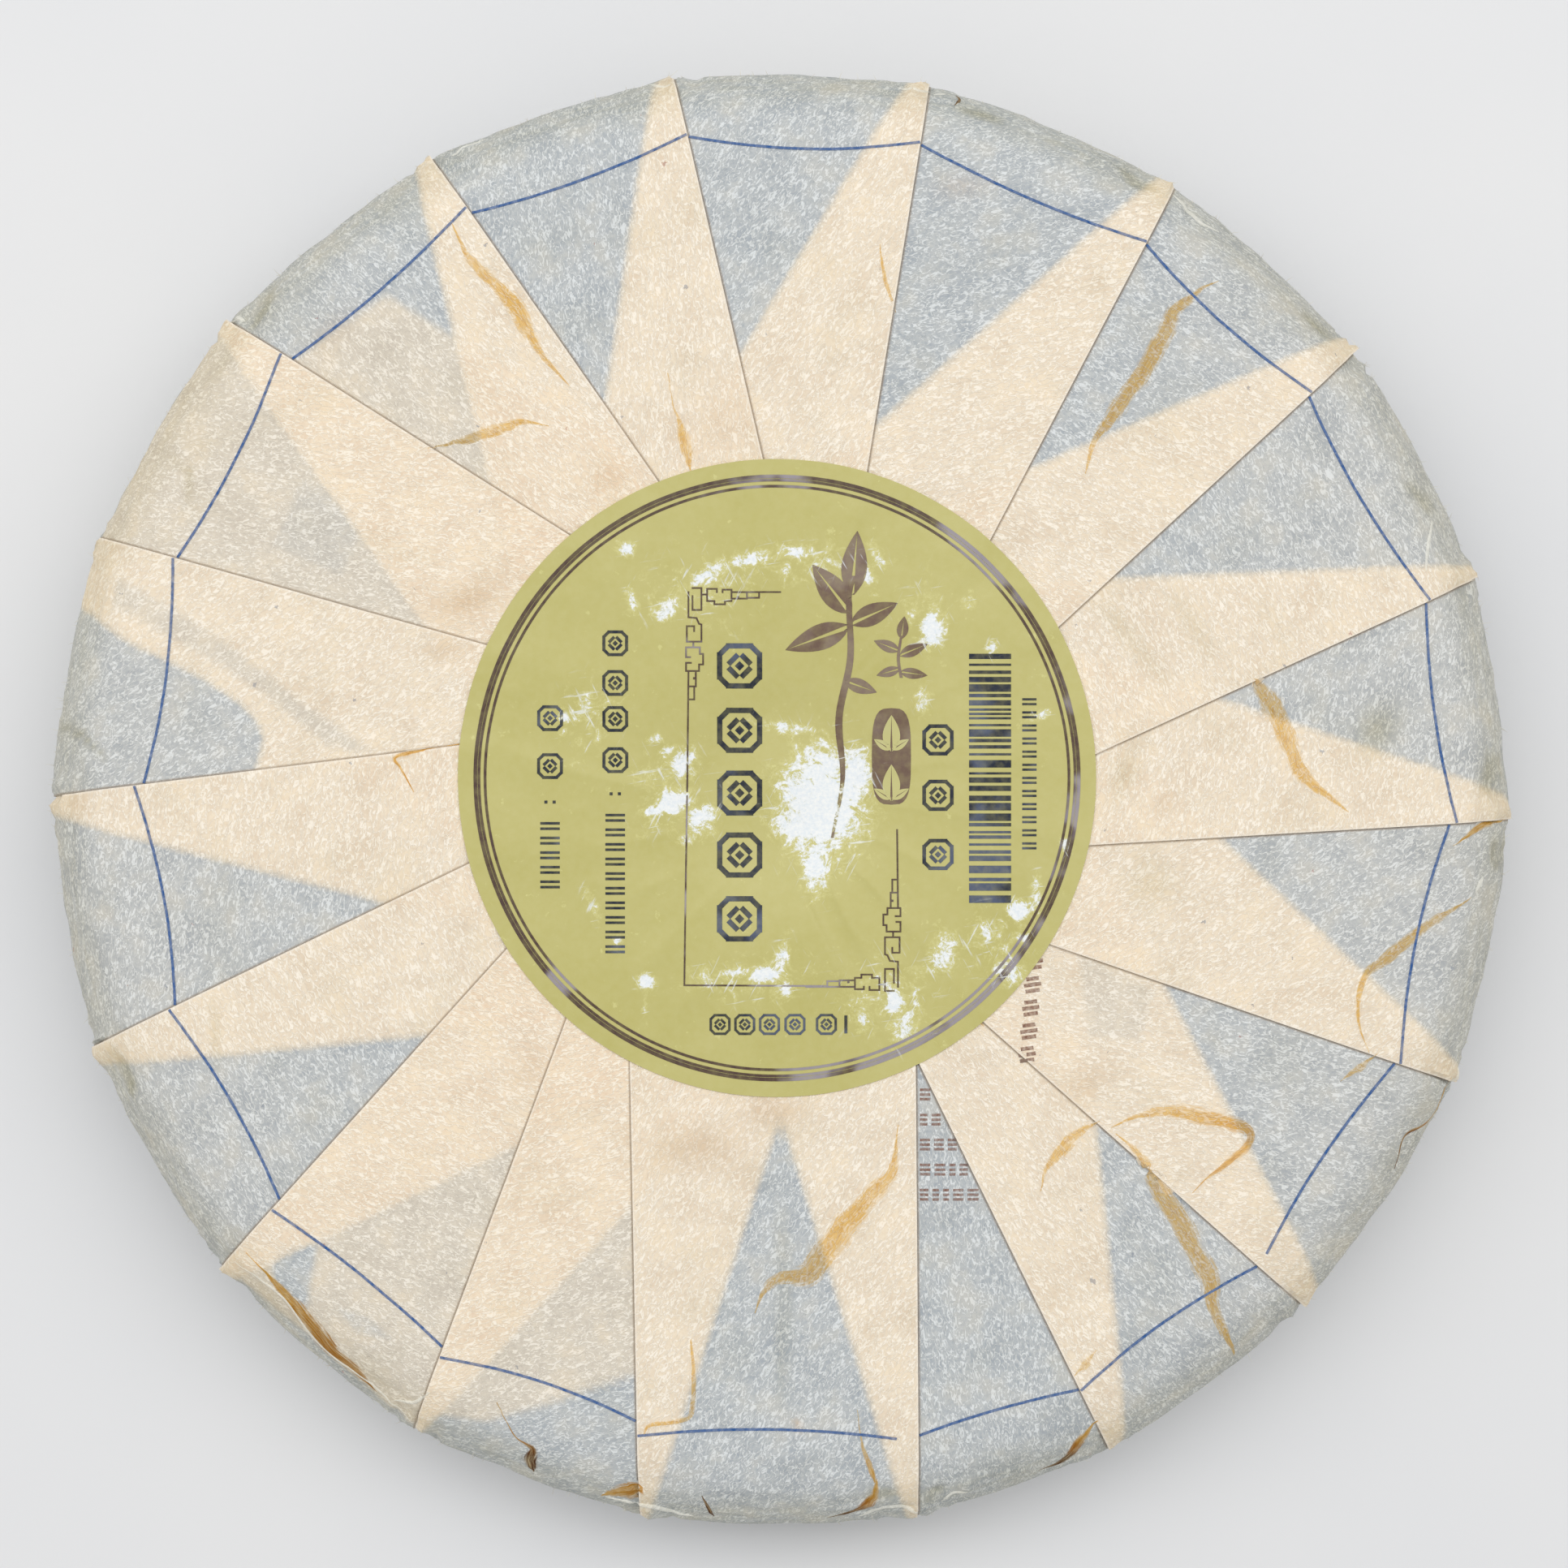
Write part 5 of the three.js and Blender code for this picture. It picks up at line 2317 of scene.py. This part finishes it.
@dataclass(frozen=True)
class LabelStock:
    """The label's printed paper and its inks, with the same pale patches through all of them: print rubbed
    away, and painted glare.
    """

    base: Tone = srgb(195, 188, 119)
    deep: Tone = srgb(182, 175, 96)
    # The white of bare paper where the print is rubbed away, also used as painted glare.
    bare: Tone = srgb(246, 247, 244)
    bare_and_glare_cool: Tone = srgb(228, 235, 240)
    veil: Tone = srgb(226, 222, 156)
    light_fleck: Tone = srgb(216, 212, 160)
    pale_fleck: Tone = srgb(228, 225, 156)
    # How much more of the inks' painted sheen lies towards the right.
    sheen_lean: float = 0.07
    ink_hold: float = -0.2
    scratch_turns: Numbers = (-28.0, 27.0, 80.0)
    scratch_stretch: Triple = (1700.0, 150.0, 1.0)
    roughness: float = 0.42
    specular: float = 0.35

    def pale_patches(self) -> NodeGroup:
        """Ragged pale patches where the wear value is high: print rubbed away, and painted glare.

        Returns:
            The node group.
        """
        outputs = {"Mask": "NodeSocketFloat", "Haze": "NodeSocketFloat", "Flecks": "NodeSocketFloat"}
        made = NodeGroup("Label pale patches", {"Place": None, "Wear And Glare": 0.0, "Bias": 0.0}, outputs)
        board, inlet = made.board, made.inlet
        ragged = board.noise(inlet["Place"], 420.0, 8.0, 0.76, 1.0)
        fine = board.noise(inlet["Place"], 2100.0, 3.0, 0.7)
        rough = board.times_plus(fine, 0.3, board.times(ragged, 0.95))
        level = board.maths("ADD", board.times_plus(inlet["Wear And Glare"], 0.48, rough), inlet["Bias"])
        scratches: object = 0.0
        for turn in self.scratch_turns:
            drawn_out = board.scaled(board.turned(inlet["Place"], turn), self.scratch_stretch)
            lines = board.step(board.noise(drawn_out, 1.0, 3.0, 0.6), 0.63, 0.7)
            scratches = board.maths("MAXIMUM", scratches, lines)
        near = board.step(board.times_plus(ragged, 0.5, inlet["Wear And Glare"]), 0.35, 0.75)
        scratches = board.times(board.times(scratches, near), 0.65)
        mask = board.maths("MAXIMUM", board.step(level, 0.9, 1.0), scratches)
        board.fill(made.outlet, {"Mask": mask, "Haze": board.step(level, 0.78, 0.96), "Flecks": fine})
        return made

    def material(
        self, pale_patches: NodeGroup, name: str, ink: Tone | None = None, worn_and_glinting: Tone | None = None
    ) -> Finish:
        """The label's paper, or one of its inks.

        Args:
            pale_patches: The node group of the pale patches.
            name: The material's name.
            ink: The ink's colour, or none for the paper.
            worn_and_glinting: The ink's colour where it is rubbed thin, and its painted metallic sheen.

        Returns:
            The material.
        """
        material, board, shader = new_material(name)
        place = board.add("ShaderNodeTexCoord").outputs["Object"]
        clouds = board.noise(place, 60.0, 3.0, 0.6)
        flecks = board.noise(place, 900.0, 2.0, 0.6)
        if ink is None:
            colour = board.mix(board.span(clouds, 0.35, 0.75, 0.0, 0.5), self.base, self.deep)
            colour = board.mix(board.span(flecks, 0.3, 0.7, 0.0, 0.12), colour, self.light_fleck)
            pale = board.step(board.noise(place, 520.0, 4.0, 0.7), 0.64, 0.72)
            colour = board.mix(board.times(pale, 0.4), colour, self.pale_fleck)
            bias = 0.0
        else:
            # Painted sheen: each ink turns to its second colour in streaks, where it is rubbed thin and
            # where a painted metallic sheen lies, more towards the right.
            rightwards = board.add("ShaderNodeSeparateXYZ", {0: place}).outputs["X"]
            lean = board.span(rightwards, -0.04, 0.04, -self.sheen_lean, self.sheen_lean)
            rub_and_sheen = board.step(board.maths("ADD", board.noise(place, 70.0, 3.0, 0.65), lean), 0.5, 0.6)
            rub_and_sheen = board.times(rub_and_sheen, 0.8)
            colour = board.mix(rub_and_sheen, ink, worn_and_glinting or ink)
            colour = board.mix(board.span(flecks, 0.35, 0.7, 0.0, 0.15), colour, self.base)
            bias = self.ink_hold
        node = pale_patches.use(board, {"Place": place, "Wear And Glare": board.attribute("wear_and_glare"), "Bias": bias})
        # Paints the pale patches on paper and inks: a hazy margin, then the white of bare paper, which
        # stands both for rubbed-off print and for painted glare.
        colour = board.mix(board.times(node.outputs["Haze"], 0.5), colour, self.veil)
        bare_and_glare_share = board.span(node.outputs["Flecks"], 0.35, 0.65, 0.0, 1.0)
        colour = board.mix(node.outputs["Mask"], colour, board.mix(bare_and_glare_share, self.bare_and_glare_cool, self.bare))
        height = board.maths("SUBTRACT", board.times(flecks, 0.4), node.outputs["Mask"])
        bump = board.add("ShaderNodeBump", {"Strength": 0.3, "Distance": 0.0001, "Height": height})
        board.fill(shader.inputs, {
            "Base Color": colour, "Specular IOR Level": self.specular, "Normal": bump.outputs[0],
            "Roughness": board.times_plus(node.outputs["Mask"], 0.3, self.roughness),
        })
        return material


def mottled_material(
    name: str, noise: Point, tones: tuple[Tone, Tone], roughness: float
) -> Finish:
    """A plain finish that wanders between two tones.

    Args:
        name: The material's name.
        noise: The noise's scale and detail.
        tones: The two tones.
        roughness: How rough it is.

    Returns:
        The material.
    """
    material, board, shader = new_material(name)
    wander = board.noise(board.add("ShaderNodeTexCoord").outputs["Object"], *noise)
    colour = board.mix(board.span(wander, 0.3, 0.7, 0.0, 1.0), *tones)
    board.fill(shader.inputs, {"Base Color": colour, "Roughness": roughness})
    return material


@dataclass
class Studio:
    """The pale floor, the soft lights and the camera."""

    eye: Eye
    floor_side: float = 6.0
    softbox_power: float = 16.6
    softbox_size: Point = (4.4, 0.6)
    softbox_place: Triple = (-0.4, 0.5, 1.2)
    sky: float = 0.62

    def floor(self) -> None:
        """A large pale floor with the faintest mottling."""
        half = self.floor_side / 2 / MM
        corners = np.array([[-half, -half, 0.0], [half, -half, 0.0], [half, half, 0.0], [-half, half, 0.0]])
        floor = mesh_piece("pale_floor", corners, [[0, 1, 2, 3]])
        tones = srgb(226, 227, 229), srgb(232, 232, 232)
        floor.data.materials.append(mottled_material("pale_floor_finish", (9.0, 4.0), tones, 0.8))

    def lights(self) -> None:
        """One wide softbox above, towards the top of the label, and an even sky."""
        lamp = bpy.data.lights.new("softbox", "AREA")
        lamp.shape = "RECTANGLE"
        lamp.size, lamp.size_y = self.softbox_size
        lamp.energy = self.softbox_power
        holder = bpy.data.objects.new("softbox", lamp)
        holder.location = self.softbox_place
        holder.rotation_mode = "QUATERNION"
        _, back, up = self.softbox_place
        holder.rotation_quaternion = Vector((0.0, -back, -up)).to_track_quat("-Z", "Y")
        bpy.context.scene.collection.objects.link(holder)
        world = bpy.data.worlds.new("sky")
        world.use_nodes = True
        background = world.node_tree.nodes["Background"]
        background.inputs["Color"].default_value = (1.0, 1.0, 1.0, 1.0)
        background.inputs["Strength"].default_value = self.sky
        bpy.context.scene.world = world

    def camera(self) -> None:
        """A camera straight above, as the photograph was taken."""
        data = bpy.data.cameras.new("camera")
        data.sensor_width = self.eye.sensor
        data.lens = self.eye.lens
        data.clip_start, data.clip_end = 0.01, 20.0
        camera = bpy.data.objects.new("camera", data)
        camera.matrix_world = Matrix.Translation(Vector((self.eye.x, self.eye.y, self.eye.height)) * MM)
        bpy.context.scene.collection.objects.link(camera)
        bpy.context.scene.camera = camera

    def build(self) -> None:
        """Sets up the floor, the lights, the camera and plain colours."""
        self.floor()
        self.lights()
        self.camera()
        bpy.context.scene.view_settings.view_transform = "Standard"
        bpy.context.scene.view_settings.look = "None"


def main() -> None:
    """Builds the studio and every piece."""
    logging.basicConfig(level=logging.INFO, format="%(name)s: %(message)s")
    eye = Eye()
    Studio(eye).build()

    finish = WrapperPaper()
    paper = finish.group()
    wrapper = PleatedWrapper(WrapperForm(), eye)
    settle(wrapper.build(), finish.material(paper, Overlay.NONE), "wrapped_cake")
    for maker, overlay in (
        (GuideLine(wrapper), Overlay.RING_LINE), (BarkStrands(wrapper), Overlay.STRAND),
        (FoldedRidges(wrapper), Overlay.RIDGE), (InnerPrint(wrapper), Overlay.INNER_BARS),
    ):
        settle(maker.build(), finish.material(paper, overlay))
    hair_tones = srgb(232, 230, 220), srgb(206, 200, 184)
    fuzz = mottled_material("loose_paper_hair", (400.0, 2.0), hair_tones, 0.9)
    settle(PaperFuzz(wrapper).build(), fuzz)

    stock = LabelStock()
    pale_patches = stock.pale_patches()
    label = RoundLabel(wrapper)
    settle(label.build(), stock.material(pale_patches, "label_stock"), "round_label")
    inks = {
        # Each ink's second colour stands for thin, rubbed ink and for a painted metallic sheen; the brown's
        # silvery one is mostly sheen.
        Ink.BROWN: stock.material(pale_patches, "label_brown_ink", srgb(80, 60, 52), srgb(165, 158, 168)),
        Ink.TEA: stock.material(pale_patches, "label_tea_ink", srgb(112, 90, 76), srgb(138, 120, 108)),
        Ink.NAVY: stock.material(pale_patches, "label_navy_ink", srgb(28, 35, 50), srgb(88, 98, 122)),
        Ink.GOLD: stock.material(pale_patches, "label_gold_ink", srgb(198, 193, 130), srgb(204, 200, 150)),
    }
    for piece, ink in LabelPrint(label).build():
        settle(piece, inks[ink])


if __name__ == "__main__":
    main()
